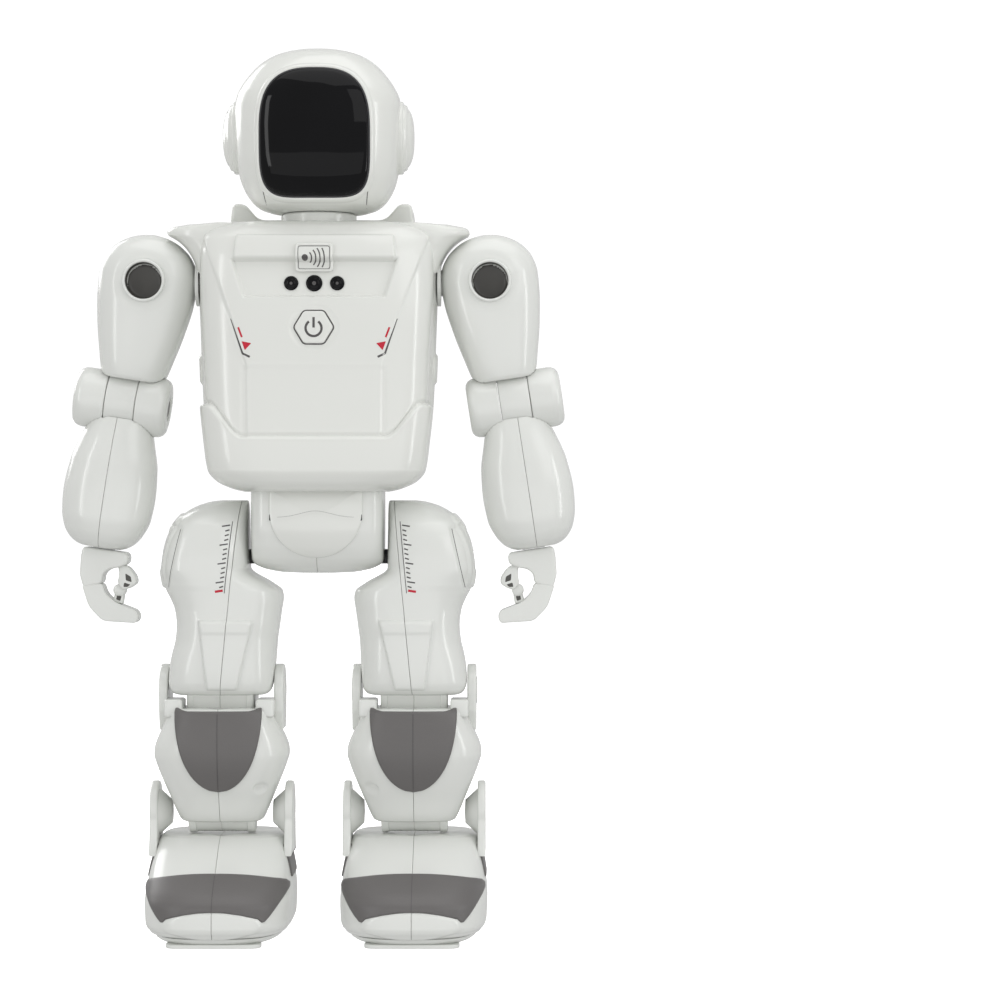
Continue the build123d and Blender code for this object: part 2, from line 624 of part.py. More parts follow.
with BuildPart() as shin_shell:
    add(shin_solid)
    add(inside(SHIN), mode=Mode.SUBTRACT)
    add(bar(LEG_X - TONGUE, LEG_X + TONGUE, 0, ANKLE_Z, ANKLE_R))
    add(bar(LEG_X - TONGUE - 0.6, LEG_X + TONGUE + 0.6, 0, KNEE_Z, KNEE_R + 0.5), mode=Mode.SUBTRACT)
    add(ear(LEG_X + KNEE_EAR[0], LEG_X + KNEE_EAR[1], KNEE_Z + 1, 11.0, 80.0))
    add(ear(LEG_X - KNEE_EAR[1], LEG_X - KNEE_EAR[0], KNEE_Z + 1, 11.0, 80.0))
    add(bar(LEG_X + TONGUE + 1.0, LEG_X + KNEE_EAR[0] + 1, 0, KNEE_Z, PIN_R))
    add(bar(LEG_X - KNEE_EAR[0] - 1, LEG_X - TONGUE - 1.0, 0, KNEE_Z, PIN_R))
    add(bar(10, 31.6, 0, ANKLE_Z, PIN_R + RUN), mode=Mode.SUBTRACT)
    add(bar(2 * LEG_X - 31.6, 70, 0, ANKLE_Z, PIN_R + RUN), mode=Mode.SUBTRACT)

with BuildPart() as shin_outer_shell:
    add(shin_shell.part)
    split(bisect_by=Plane.YZ.offset(LEG_X), keep=Keep.TOP)
save_pair(shin_outer_shell.part, "shin_outer_shell")

with BuildPart() as shin_inner_shell:
    add(shin_shell.part)
    split(bisect_by=Plane.YZ.offset(LEG_X), keep=Keep.BOTTOM)
save_pair(shin_inner_shell.part, "shin_inner_shell")

with BuildPart() as knee_pad:
    with BuildSketch(Plane.XZ.offset(40)):
        with BuildLine():
            top = Line((LEG_X - 17.4, 92.5), (LEG_X + 17.4, 92.5))
            outer = Bezier(top @ 1, (LEG_X + 17.2, 72.0), (LEG_X + 9.0, 58.8), (LEG_X, 58.6))
            Bezier(outer @ 1, (LEG_X - 9.0, 58.8), (LEG_X - 17.2, 72.0), top @ 0)
        make_face()
    extrude(amount=-32)
    add(lofted(SHIN, inset=-0.8), mode=Mode.INTERSECT)
    add(shin_solid, mode=Mode.SUBTRACT)
    add(bar(LEG_X - TONGUE - 0.6, LEG_X + TONGUE + 0.6, 0, KNEE_Z, KNEE_R + 0.5), mode=Mode.SUBTRACT)
save_pair(knee_pad.part, "knee_pad")

# ---------------------------------------------------------------- foot: shells with the ankle yoke, band, sole, wheels
FOOT = about_leg([
    (4.0, 28.0, -47.8, 39.8, 14.0),
    (8.5, 29.6, -50.0, 42.0, 15.0),
    (16.0, 30.0, -49.6, 42.2, 15.0),
    (24.0, 29.4, -41.0, 41.0, 13.0),
    (31.0, 28.4, -30.0, 38.0, 12.0),
    (37.0, 27.0, -20.5, 33.0, 11.0),
    (41.0, 25.0, -14.0, 27.0, 9.0),
])
foot_solid = lofted(FOOT)


def ankle_stub(side):
    """Cone and pin that reach from the ankle ear into the shin, on one side of the leg."""
    face = LEG_X + side * ANKLE_EAR[0]
    with BuildPart() as stub:
        for reach, radius in ((-0.5, 9.0), (5.2, 4.4)):
            with BuildSketch(Plane.YZ.offset(face - side * reach)):
                with Locations((0, ANKLE_Z)):
                    Circle(radius)
        loft()
    ends = sorted((face, LEG_X + side * 8.5))
    return stub.part + bar(ends[0], ends[1], 0, ANKLE_Z, PIN_R)


with BuildPart() as foot_shell:
    add(foot_solid)
    add(inside(FOOT, open_bottom=True), mode=Mode.SUBTRACT)
    add(bar(LEG_X - TONGUE - 0.6, LEG_X + TONGUE + 0.6, 0, ANKLE_Z, ANKLE_R + 0.6), mode=Mode.SUBTRACT)
    for ear_side in (-1, 1):
        ends = sorted(LEG_X + ear_side * x for x in ANKLE_EAR)
        add(ear(ends[0], ends[1], ANKLE_Z, 10.5, 26.0))
        add(ankle_stub(ear_side))

with BuildPart() as foot_outer_shell:
    add(foot_shell.part)
    split(bisect_by=Plane.YZ.offset(LEG_X), keep=Keep.TOP)
save_pair(foot_outer_shell.part, "foot_outer_shell")

with BuildPart() as foot_inner_shell:
    add(foot_shell.part)
    split(bisect_by=Plane.YZ.offset(LEG_X), keep=Keep.BOTTOM)
save_pair(foot_inner_shell.part, "foot_inner_shell")

with BuildPart() as toe_band:
    with BuildSketch(Plane.XZ.offset(60)):
        with BuildLine():
            top = ThreePointArc((LEG_X - 26.5, 24.4), (LEG_X, 27.4), (LEG_X + 26.5, 24.4))
            right = Polyline(top @ 1, (LEG_X + 29.2, 20.4), (LEG_X + 22.6, 10.6), (LEG_X + 20.2, 12.4))
            low = ThreePointArc(right @ 1, (LEG_X, 15.6), (LEG_X - 20.2, 12.4))
            Polyline(low @ 1, (LEG_X - 22.6, 10.6), (LEG_X - 29.2, 20.4), top @ 0)
        make_face()
    extrude(amount=-46)
    add(lofted(FOOT, inset=-0.7), mode=Mode.INTERSECT)
    add(foot_solid, mode=Mode.SUBTRACT)
save_pair(toe_band.part, "toe_band")

with BuildPart() as foot_sole:
    with BuildSketch(Plane.XY.offset(1.2)):
        with Locations((LEG_X, -4)):
            RectangleRounded(2 * 27.6, 2 * 43.4, 13.6)
    extrude(amount=2.8)
    with BuildSketch(Plane.XY):
        with Locations((LEG_X, GLIDE_Y)):
            RectangleRounded(38, 11, 5.0)  # glide pad under the toes
    extrude(amount=1.2)
    with BuildSketch(Plane.XY):
        with Locations((LEG_X - WHEEL_X, WHEEL_Y), (LEG_X + WHEEL_X, WHEEL_Y)):
            Rectangle(WHEEL_W + 1.4, 2 * WHEEL_R + 1.5)
    extrude(amount=6, mode=Mode.SUBTRACT)
    for bearing_x in (LEG_X - 9, LEG_X + 9):
        add(block(bearing_x - 2, bearing_x + 2, WHEEL_Y - 4.5, WHEEL_Y + 4.5, 4.0, 13.5))
    add(bar(LEG_X - 14, LEG_X + 14, WHEEL_Y, WHEEL_R, AXLE_R + RUN), mode=Mode.SUBTRACT)
save_pair(foot_sole.part, "foot_sole")

with BuildPart() as drive_wheels:
    add(bar(LEG_X - 23.5, LEG_X + 23.5, WHEEL_Y, WHEEL_R, AXLE_R))
    for wheel_x in (LEG_X - WHEEL_X, LEG_X + WHEEL_X):
        add(bar(wheel_x - WHEEL_W / 2, wheel_x + WHEEL_W / 2, WHEEL_Y, WHEEL_R, WHEEL_R))
        add(bar(wheel_x - 0.6, wheel_x + 0.6, WHEEL_Y, WHEEL_R, 10) - bar(wheel_x - 1, wheel_x + 1, WHEEL_Y, WHEEL_R, 8.2),
            mode=Mode.SUBTRACT)
save_pair(drive_wheels.part, "drive_wheels")
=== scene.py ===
import math

import bpy
import numpy as np
from mathutils import Matrix, Vector
from mathutils.bvhtree import BVHTree


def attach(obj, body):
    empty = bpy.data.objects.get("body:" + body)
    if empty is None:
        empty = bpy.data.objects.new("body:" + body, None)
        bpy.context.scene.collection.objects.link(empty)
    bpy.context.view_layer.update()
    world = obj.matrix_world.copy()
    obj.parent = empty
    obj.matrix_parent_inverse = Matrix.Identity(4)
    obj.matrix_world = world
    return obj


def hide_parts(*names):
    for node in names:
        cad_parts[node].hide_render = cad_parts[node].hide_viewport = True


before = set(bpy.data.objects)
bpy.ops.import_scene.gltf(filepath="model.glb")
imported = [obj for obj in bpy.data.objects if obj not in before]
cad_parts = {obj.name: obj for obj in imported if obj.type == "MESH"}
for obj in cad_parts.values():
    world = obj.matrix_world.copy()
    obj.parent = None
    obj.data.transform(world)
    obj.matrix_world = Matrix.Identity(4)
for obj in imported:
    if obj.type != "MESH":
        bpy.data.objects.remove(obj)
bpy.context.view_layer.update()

# ---- Torso ------------------------------------------------------------------------------------
# Two glossy white ABS mouldings that meet in a seam down the sides, screwed together from behind.
# The front carries a raised chest plate, a brow bar over the sensor window, and a belly band.


class Field:
    """A number that changes over a surface. Arithmetic on it adds Math nodes to its material."""

    def __init__(self, tree, socket):
        self.tree, self.socket = tree, socket

    def _math(self, operation, other):
        node = self.tree.nodes.new("ShaderNodeMath")
        node.operation = operation
        self.tree.links.new(self.socket, node.inputs[0])
        if isinstance(other, Field):
            self.tree.links.new(other.socket, node.inputs[1])
        else:
            node.inputs[1].default_value = other
        return Field(self.tree, node.outputs[0])

    def __add__(self, other):
        return self._math("ADD", other)

    __radd__ = __add__

    def __mul__(self, other):
        return self._math("MULTIPLY", other)


class Finish:
    """One material under construction: add() makes any node from its type, settings and sockets."""

    def __init__(self, name):
        self.material = bpy.data.materials.new(name)
        self.material.use_nodes = True
        self.tree = self.material.node_tree
        self.tree.nodes.clear()
        self.place = self.add("ShaderNodeTexCoord").outputs["Object"]

    def add(self, kind, settings=(), sockets=()):
        node = self.tree.nodes.new(kind)
        for key, value in dict(settings).items():
            setattr(node, key, value)
        for key, value in dict(sockets).items():
            if isinstance(value, Field):
                value = value.socket
            if isinstance(value, bpy.types.NodeSocket):
                self.tree.links.new(value, node.inputs[key])
            else:
                node.inputs[key].default_value = value
        return node

    def noise(self, scale, detail=3.0, roughness=0.5):
        grain = self.add("ShaderNodeTexNoise", {}, {
            "Vector": self.place, "Scale": scale, "Detail": detail, "Roughness": roughness})
        return Field(self.tree, grain.outputs["Fac"])

    def tint(self, amount, low, high):
        return self.add("ShaderNodeMix", {"data_type": "RGBA"}, {
            0: amount, 6: (*low, 1), 7: (*high, 1)}).outputs[2]

    def bump(self, height, distance, strength):
        return self.add("ShaderNodeBump", {}, {
            "Height": height, "Distance": distance, "Strength": strength}).outputs[0]

    def plastic(self, **sockets):
        shader = self.add("ShaderNodeBsdfPrincipled", {}, {
            key.replace("_", " "): value for key, value in sockets.items()})
        self.add("ShaderNodeOutputMaterial", {}, {"Surface": shader.outputs[0]})
        return self.material


def moulded_white(name, light, dark, gloss):
    """Glossy white ABS: a faint uneven tone, flow waves in the gloss, and a fine mould texture."""
    finish = Finish(name)
    cloud = finish.noise(22.0, 2.0)
    flow = finish.noise(70.0, 3.0)
    grain = finish.noise(1900.0, 2.0)
    waves = finish.noise(160.0, 2.0)
    return finish.plastic(
        Base_Color=finish.tint(cloud, dark, light),
        Roughness=gloss - 0.03 + flow * 0.06,
        Normal=finish.bump(waves * 0.6 + grain * 0.4, 0.00006, 0.35),
        Coat_Weight=0.25, Coat_Roughness=0.12, IOR=1.5)


WHITE = moulded_white("white_abs", (0.79, 0.80, 0.764), (0.76, 0.77, 0.735), 0.20)
LIMB_WHITE = moulded_white("white_abs_limbs", (0.775, 0.787, 0.756), (0.745, 0.757, 0.727),
                           0.21)


def eased(keys, heights):
    """Every size in the key sections, carried smoothly to the heights without overshoot."""
    keys = np.array(keys, float)
    level = keys[:, 0]
    step = np.diff(level)
    at = np.clip(np.searchsorted(level, heights, side="right") - 1, 0, len(level) - 2)
    t = (heights - level[at]) / step[at]
    sizes = []
    for column in keys.T[1:]:
        rise = np.diff(column) / step
        product = rise[1:] * rise[:-1]
        total = np.where(product > 0, rise[1:] + rise[:-1], 1.0)
        lean = np.r_[rise[0], np.where(product > 0, 2 * product / total, 0.0), rise[-1]]
        sizes.append((2 * t**3 - 3 * t**2 + 1) * column[at]
                     + (t**3 - 2 * t**2 + t) * lean[at] * step[at]
                     + (3 * t**2 - 2 * t**3) * column[at + 1]
                     + (t**3 - t**2) * lean[at + 1] * step[at])
    return np.stack(sizes, 1)


def evenly(path, count):
    """The same open path with its points evenly spaced."""
    length = np.r_[0, np.cumsum(np.linalg.norm(np.diff(path, axis=0), axis=1))]
    spots = np.linspace(0, length[-1], count)
    return np.stack([np.interp(spots, length, column) for column in path.T], 1)


def looping(outline, count):
    """The same closed outline with its points evenly spaced."""
    return evenly(np.vstack((outline, outline[:1])), count + 1)[:-1]


def strip_faces(rows):
    """Quads between rows of points, each row a closed loop."""
    levels, around = rows.shape[:2]
    index = np.arange(levels * around).reshape(levels, around)
    after = np.roll(index, -1, 1)
    return np.stack((index[:-1], after[:-1], after[1:], index[1:]), -1).reshape(-1, 4).tolist()


SEAM_GAP, SEAM_ROUND, SEAM_LIP = 0.07, 0.22, 1.6


def ring(size, count, seam, keep):
    """Points round one level of a shell. A seam (axis, place) leaves the side keep points to."""
    x_low, x_high, y_low, y_high, square = size
    turn = np.linspace(0, 2 * math.pi, 721)[:-1]
    circle = np.stack((np.cos(turn), np.sin(turn)), 1)
    middle = np.array([(x_low + x_high) / 2, (y_low + y_high) / 2])
    half = np.array([(x_high - x_low) / 2, (y_high - y_low) / 2])
    points = middle + half * np.sign(circle) * np.abs(circle) ** (2 / square)
    if seam is None:
        return looping(points, count)
    axis, place = seam
    over = keep * (points[:, axis] - place) - SEAM_GAP - SEAM_ROUND
    first = np.flatnonzero((over > 0) & (np.roll(over, 1) <= 0))[0]
    points, over = np.roll(points, -first, axis=0), np.roll(over, -first)
    kept = int((over > 0).sum())
    ends = []
    for inner, outer in ((0, -1), (kept - 1, kept)):
        share = over[inner] / (over[inner] - over[outer])
        ends.append(points[inner] + share * (points[outer] - points[inner]))
    return evenly(np.vstack((ends[0], points[:kept], ends[1])), count)


def moulding(keys, spacing, seam=None, keep=1, relief=None, fine=None):
    """Thin shell lofted through key sections (height, x low, x high, y low, y high, squareness).

    relief(points, normals) gives how far each point stands out, and a seam's edges turn inwards."""
    low, high = keys[0][0], keys[-1][0]
    ends = np.array([0.15, 0.35, 0.7])
    heights = np.unique(np.round(np.r_[np.arange(low, high, fine or spacing), high,
                                       [k[0] for k in keys], low + ends, high - ends], 3))
    sizes = eased(keys, heights)
    widest = max(2 * (k[2] - k[1]) + 2 * (k[4] - k[3]) for k in keys)
    count = int(widest / spacing * (1.0 if seam is None else 0.6))
    rings = []
    for height, size in zip(heights, sizes):
        place = seam and (seam[0], seam[1](height) if callable(seam[1]) else seam[1])
        rings.append(np.c_[ring(size, count, place, keep), np.full(count, height)])
    grid = np.array(rings)
    along = np.gradient(grid, axis=1) if seam else np.roll(grid, -1, 1) - np.roll(grid, 1, 1)
    normals = np.cross(along, np.gradient(grid, axis=0))
    normals /= np.maximum(np.linalg.norm(normals, axis=2, keepdims=True), 1e-9)
    if relief:
        grid = grid + normals * relief(grid, normals)[..., None]
    if seam:
        edge = np.zeros(3)
        edge[seam[0]] = keep
        sides = []
        for end in (0, -1):
            inward = -normals[:, end] * (1 - np.abs(edge)) * (1, 1, 0)
            inward /= np.maximum(np.linalg.norm(inward, axis=1, keepdims=True), 1e-9)
            last = grid[:, end]
            sides.append(np.stack((last - edge * SEAM_ROUND * 0.7 + inward * SEAM_ROUND * 0.3,
                                   last - edge * SEAM_ROUND + inward * SEAM_ROUND,
                                   last - edge * SEAM_ROUND + inward * SEAM_LIP), 1))
        grid = np.concatenate((sides[0][:, ::-1], grid, sides[1]), axis=1)
    faces = strip_faces(grid)
    points = np.vstack((grid.reshape(-1, 3), grid[0].mean(0), grid[-1].mean(0)))
    bottom, top = len(points) - 2, len(points) - 1
    index = np.arange(bottom).reshape(grid.shape[:2])
    faces += [[a, bottom, b] for a, b in zip(index[0], np.roll(index[0], -1))]
    faces += [[b, top, a] for a, b in zip(index[-1], np.roll(index[-1], -1))]
    return points, faces


def sections(middle, rows, square=()):
    """Key sections for moulding, from rows of (height, half width, y low, y high, squareness).

    square gives the squareness where the rows leave it out."""
    return [(height, middle - half, middle + half, *rest, *square) for height, half, *rest in rows]


def joined(*meshes):
    """Several meshes as one."""
    points, faces = [], []
    for more_points, more_faces in meshes:
        start = sum(len(p) for p in points)
        points.append(np.asarray(more_points, float))
        faces += [[start + i for i in face] for face in more_faces]
    return np.vstack(points), faces


def solid(name, mesh, side=1, place=None):
    """Blender object from a mesh in millimetres. side -1 mirrors it for the robot's right side."""
    points, faces = mesh
    points = np.asarray(points, float)
    if place is not None:
        turn = np.array(place.to_3x3())
        points = points @ turn.T + np.array(place.translation)
    points = points * (side * 0.001, 0.001, 0.001)
    if side < 0:
        faces = [list(face)[::-1] for face in faces]
    data = bpy.data.meshes.new(name)
    data.from_pydata(points.tolist(), [], [[int(i) for i in face] for face in faces])
    data.validate()
    thing = bpy.data.objects.new(name, data)
    bpy.context.scene.collection.objects.link(thing)
    return thing


SHARP = math.radians(50)


def piece(name, mesh, finish, body, nodes=(), slot="white_shell", side=1, place=None,
          openings=None):
    """Adds a finished piece that rides on a body. The closed forms in openings are cut out."""
    thing = solid(name, mesh, side, place)
    if openings is not None:
        cutter = solid("cutter", openings, side, place)
        cut = thing.modifiers.new("openings", "BOOLEAN")
        cut.operation, cut.solver, cut.object = "DIFFERENCE", "EXACT", cutter
        result = thing.evaluated_get(bpy.context.evaluated_depsgraph_get())
        opened = bpy.data.meshes.new_from_object(result)
        thing.modifiers.clear()
        thing.data = opened
        bpy.data.objects.remove(cutter)
    data = thing.data
    data.shade_smooth()
    data.set_sharp_from_angle(angle=SHARP)
    data.materials.clear()
    data.materials.append(finish)
    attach(thing, body)
    if nodes:
        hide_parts(*nodes)


def pair(name, mesh, finish, body, nodes=(), **options):
    """A piece for the left side and its mirror image for the right. {} stands for the side."""
    for label, side in (("left", 1), ("right", -1)):
        piece(name.format(label), mesh, finish, body.format(label),
              [node.format(label) for node in nodes], side=side, **options)


def smooth(distance, width):
    """Rises from 0 to 1 over a width centred on distance 0."""
    t = np.clip(distance / width + 0.5, 0, 1)
    return t * t * (3 - 2 * t)


def inside_polygon(x, z, corners):
    """Signed distance from a convex polygon's edges, positive inside."""
    corners = np.array(corners, float)
    centre = corners.mean(0)
    nearest = np.full(np.shape(x), 1e9)
    for a, b in zip(corners, np.roll(corners, -1, 0)):
        across = np.array([b[1] - a[1], a[0] - b[0]]) / np.hypot(*(b - a))
        if np.dot(across, centre - a) < 0:
            across = -across
        nearest = np.minimum(nearest, (x - a[0]) * across[0] + (z - a[1]) * across[1])
    return nearest


TORSO_KEYS = sections(0, [
    (182.0, 30.0, -25.5, 20.0, 3.0), (183.0, 34.0, -29.0, 21.5, 3.3),
    (186.3, 40.8, -33.0, 23.5, 3.8), (190.4, 43.9, -35.0, 25.0, 4.4),
    (202.0, 45.6, -35.6, 26.0, 4.6), (219.0, 47.3, -35.2, 26.0, 4.6),
    (247.0, 48.4, -34.6, 26.0, 4.6), (262.0, 48.9, -33.6, 26.0, 4.4),
    (276.0, 49.0, -31.4, 25.5, 4.2), (284.0, 48.2, -28.6, 24.0, 3.9),
    (288.5, 45.0, -25.0, 22.0, 3.6), (291.2, 40.0, -20.0, 18.0, 3.2),
    (292.0, 33.0, -15.0, 14.5, 2.8)])
CREASE = [(204, 27.0), (233, 27.2), (237, 28.8), (251, 33.2), (284, 45.8), (292, 49.0)]
WINDOW = [(-33.2, 275.2), (33.2, 275.2), (28.4, 260.0), (-28.4, 260.0)]
BROW = [(-32.9, 274.6), (32.9, 274.6), (32.0, 285.0), (-32.0, 285.0)]
BUTTON_Z = 247.4
SHOULDER = (70.5, 267.5)


def chest_relief(points, normals):
    """Raised chest plate, brow bar, recessed sensor window, belly band and side bosses."""
    x, y, z = np.abs(points[..., 0]), points[..., 1], points[..., 2]
    front = smooth(-y - 8, 10)
    crease = np.interp(z, *zip(*CREASE))
    above_belly = 203.4 + 13.5 * smooth(x - 36.5, 16)
    plate = -0.75 * smooth(x - crease, 1.7) - 0.055 * np.clip(x - crease, 0, 18)
    lower_plate = -0.55 * smooth(231.5 - z, 3.0) * smooth(29.0 - x, 2.5)
    belly = 1.25 * smooth(above_belly - z, 2.6) - 0.8 * smooth(above_belly - z + 1.2, 1.6)
    window = -2.0 * smooth(inside_polygon(points[..., 0], z, WINDOW), 1.2)
    brow = 1.45 * smooth(inside_polygon(points[..., 0], z, BROW) - 0.4, 1.1)
    button_bed = -0.5 * smooth(9.6 - np.hypot(points[..., 0], (z - BUTTON_Z) * 1.08), 2.0)
    boss = 1.0 * smooth(6.0 - np.hypot(y + 2.0, z - 232.0), 2.0) * smooth(x - 44, 4)
    above = smooth(z - above_belly, 1.0)
    return front * ((plate + lower_plate) * above + belly + window + brow + button_bed) + boss


def shoulder_wing():
    """Thin epaulette that roofs the arm: flat on top, hollowed underneath round the shoulder."""
    top = [(34.0, 290.8), (44.0, 291.3), (54.0, 290.9), (60.2, 289.9), (61.8, 289.0),
           (62.2, 287.9), (61.8, 287.0)]
    angles = np.radians(np.linspace(114.5, 168, 12))
    under = [(SHOULDER[0] + 21.3 * math.cos(a), SHOULDER[1] + 21.3 * math.sin(a)) for a in angles]
    x, z = looping(np.array(top + under + [(44.0, 266.0), (36.0, 278.0)]), 90).T
    out = np.clip(x - 40.0, 0, None)
    rows = []
    for depth in np.linspace(-1, 1, 31):
        reach = max(1 - abs(depth) ** 3.2, 0.0) ** (1 / 2.2)
        droop = (1 - reach) * 3.5 * np.clip(out / 22.0, 0, 1)
        rows.append(np.c_[np.minimum(x, 40.0) + out * reach, np.full(len(x), -1.0 + 17.0 * depth),
                          z - droop])
    return np.array(rows)


def facing_out(points, faces):
    """The same mesh with its faces turned so that it encloses a positive volume."""
    points = np.asarray(points, float)
    centre, volume = points.mean(0), 0.0
    for face in faces:
        corner = points[list(face)] - centre
        for k in range(1, len(face) - 1):
            volume += np.dot(corner[0], np.cross(corner[k], corner[k + 1]))
    if volume < 0:
        faces = [list(face)[::-1] for face in faces]
    return points, faces


def filled(rows):
    """Closed mesh through rows of points, with a face over the first and the last row."""
    faces = strip_faces(rows)
    levels, around = rows.shape[:2]
    faces.append(list(range(around))[::-1])
    faces.append(list(range((levels - 1) * around, levels * around)))
    return facing_out(rows.reshape(-1, 3), faces)


def mirrored(mesh):
    """The mesh reflected to the other side of the robot."""
    points, faces = mesh
    return np.asarray(points) * (-1, 1, 1), [list(face)[::-1] for face in faces]


chest = moulding(TORSO_KEYS, 0.62, seam=(1, 0.0), keep=-1, relief=chest_relief, fine=0.5)
back = moulding(TORSO_KEYS, 1.0, seam=(1, 0.0), keep=1)
wing = shoulder_wing()
depths = wing[:, 0, 1]
front_half = filled(np.minimum(wing, (math.inf, -SEAM_GAP, math.inf))[depths < 0.6])
back_half = filled(np.maximum(wing, (-math.inf, SEAM_GAP, -math.inf))[depths > -0.6])
chest_shell = joined(chest, front_half, mirrored(front_half))
WELL_DEPTH = 0.9
BUTTON_HEX = [(7.85 * math.cos(a), BUTTON_Z + 7.45 * math.sin(a))
              for a in np.radians(np.arange(0, 360, 60))]
welled = chest_shell[0].copy()
well = smooth(inside_polygon(welled[:, 0], welled[:, 2], BUTTON_HEX) - 0.35, 0.6)
welled[:, 1] += WELL_DEPTH * well * (welled[:, 1] < -20)
piece("chest_shell", (welled, chest_shell[1]), WHITE, "torso", ["torso_front_shell"])
piece("back_shell", joined(back, back_half, mirrored(back_half)), WHITE, "torso",
      ["torso_back_shell"])


def surface(mesh):
    """The mesh as a surface that other pieces can be laid on."""
    points, faces = mesh
    return BVHTree.FromPolygons([Vector(p) for p in points], [[int(i) for i in f] for f in faces])


CHEST = surface(chest_shell)

# ---- Chest details ----------------------------------------------------------------------------
# A grey-framed badge marks the hand-wave sensor, three black lenses sit in the window below it, and
# the hexagonal power button presses in through the chest plate. The accents are printed in ink.


def inset(outline, distance):
    """A closed outline drawn anticlockwise, moved inwards."""
    along = np.roll(outline, -1, 0) - np.roll(outline, 1, 0)
    along /= np.maximum(np.linalg.norm(along, axis=1, keepdims=True), 1e-9)
    return outline + distance * np.stack((-along[:, 1], along[:, 0]), 1)


def rounded(corners, radius, spacing=0.4):
    """Closed outline through rounded corners, given anticlockwise, its points evenly spaced."""
    corners = np.array(corners, float)
    radii = np.broadcast_to(radius, len(corners))
    path = []
    for k, (corner, bend) in enumerate(zip(corners, radii)):
        back, ahead = corners[k - 1] - corner, corners[(k + 1) % len(corners)] - corner
        reach = min(bend, 0.45 * np.hypot(*back), 0.45 * np.hypot(*ahead))
        start = corner + back / np.hypot(*back) * reach
        end = corner + ahead / np.hypot(*ahead) * reach
        for t in np.linspace(0, 1, 9):
            path.append((1 - t) ** 2 * start + 2 * t * (1 - t) * corner + t**2 * end)
    path = np.array(path + path[:1])
    length = np.linalg.norm(np.diff(path, axis=0), axis=1).sum()
    return evenly(path, max(24, int(length / spacing)) + 1)[:-1]


VIEWS = {"front": ((0, -1, 0), (1, 0, 0)), "back": ((0, 1, 0), (1, 0, 0)),
         "side": ((1, 0, 0), (0, 1, 0))}


def drop(target, view, flat):
    """Points of a flat drawing carried onto a surface, with the surface's normals there."""
    toward, across = (np.array(v, float) for v in VIEWS[view])
    places, normals = [], []
    for u, v in flat:
        spot = across * u + (0, 0, v)
        place, normal, _, _ = target.ray_cast(Vector(toward * 250.0 + spot), Vector(-toward))
        if place is None:
            place, normal, _, _ = target.find_nearest(Vector(toward * 20.0 + spot))
        if normal.dot(Vector(toward)) < 0:
            normal = -normal
        places.append(place)
        normals.append(normal)
    return np.array(places), np.array(normals)


def seen_from(view, points, faces, sample):
    """The mesh with its faces turned so that the sample face looks towards the view."""
    corner = points[sample[:3]]
    if np.dot(np.cross(corner[1] - corner[0], corner[2] - corner[0]), VIEWS[view][0]) < 0:
        faces = [face[::-1] for face in faces]
    return points, faces


def draped(loops, target, view="front", level=0.0):
    """Rows of points over a surface, from (flat outline, height above the surface) pairs.

    level turns the heights from the surface's own direction towards the view."""
    rows = []
    for flat, height in loops:
        place, normal = drop(target, view, flat)
        rows.append(place + (normal * (1 - level) + np.multiply(VIEWS[view][0], level)) * height)
    return np.array(rows)


def laid(outline, edge, target, view="front", rings=8, crown=0.0, level=0.0):
    """Sheet inside a closed outline, laid on a surface.

    edge lists (distance in from the outline, height above the surface). crown lifts the middle."""
    loops = [(inset(outline, inward), height) for inward, height in edge]
    last, top = loops[-1]
    centre = last.mean(0)
    for k in range(1, rings + 1):
        share = 1 - k / (rings + 0.5)
        loops.append((centre + (last - centre) * share, top + crown * (1 - share**2)))
    rows = draped(loops, target, view, level)
    levels, around = rows.shape[:2]
    faces = strip_faces(rows)
    faces.append(list(range((levels - 1) * around, levels * around)))
    return seen_from(view, rows.reshape(-1, 3), faces, faces[len(faces) // 2])


def stroke(path, width, target, view="front", height=0.05, taper=(1.0, 1.0)):
    """Line of an even width along a path, on a surface: printed marks, seams, the raised lip, and
    painted shade along creases.
    """
    path = np.array(path, float)
    along = np.gradient(path, axis=0)
    along /= np.maximum(np.linalg.norm(along, axis=1, keepdims=True), 1e-9)
    half_width = width / 2 * np.linspace(*taper, len(path))[:, None]
    across = np.stack((-along[:, 1], along[:, 0]), 1) * half_width
    rows = draped([(path + across, height), (path - across, height)], target, view)
    count = len(path)
    faces = [[k, k + count, k + count + 1, k + 1] for k in range(count - 1)]
    return seen_from(view, rows.reshape(-1, 3), faces, faces[0])


def outlined(outline, *details, **options):
    """Printed line all the way round a closed outline."""
    return stroke(np.vstack((outline, outline[:2])), *details, **options)


def straight(start, end):
    """Points half a millimetre apart along a straight line."""
    start, end = np.array(start, float), np.array(end, float)
    return np.linspace(start, end, max(3, int(np.hypot(*(end - start)) / 0.5) + 1))


def arc(centre, radius, start, end, count=40):
    """Points along a circular arc, angles in degrees."""
    angles = np.radians(np.linspace(start, end, count))
    return np.stack((centre[0] + radius * np.cos(angles), centre[1] + radius * np.sin(angles)), 1)


def ink(name, colour):
    """Pad-printed colour, and thin lines of painted shade along creases and folds: flat, slightly
    uneven in tone, with a dull gloss.
    """
    finish = Finish(name)
    uneven = finish.noise(900.0, 2.0)
    darker = tuple(c * 0.85 for c in colour)
    return finish.plastic(Base_Color=finish.tint(uneven, darker, colour),
                          Roughness=0.38 + uneven * 0.08)


def satin_dark(name, colour, gloss):
    """Moulded dark plastic, also used for painted shade, with a fine spark-eroded texture and a
    soft satin sheen.
    """
    finish = Finish(name)
    cloud = finish.noise(35.0, 2.0)
    grain = finish.noise(1500.0, 3.0, 0.6)
    darker = tuple(c * 0.86 for c in colour)
    return finish.plastic(
        Base_Color=finish.tint(cloud * 0.7 + grain * 0.3, darker, colour),
        Roughness=gloss - 0.06 + grain * 0.12,
        Normal=finish.bump(grain, 0.00008, 0.5))


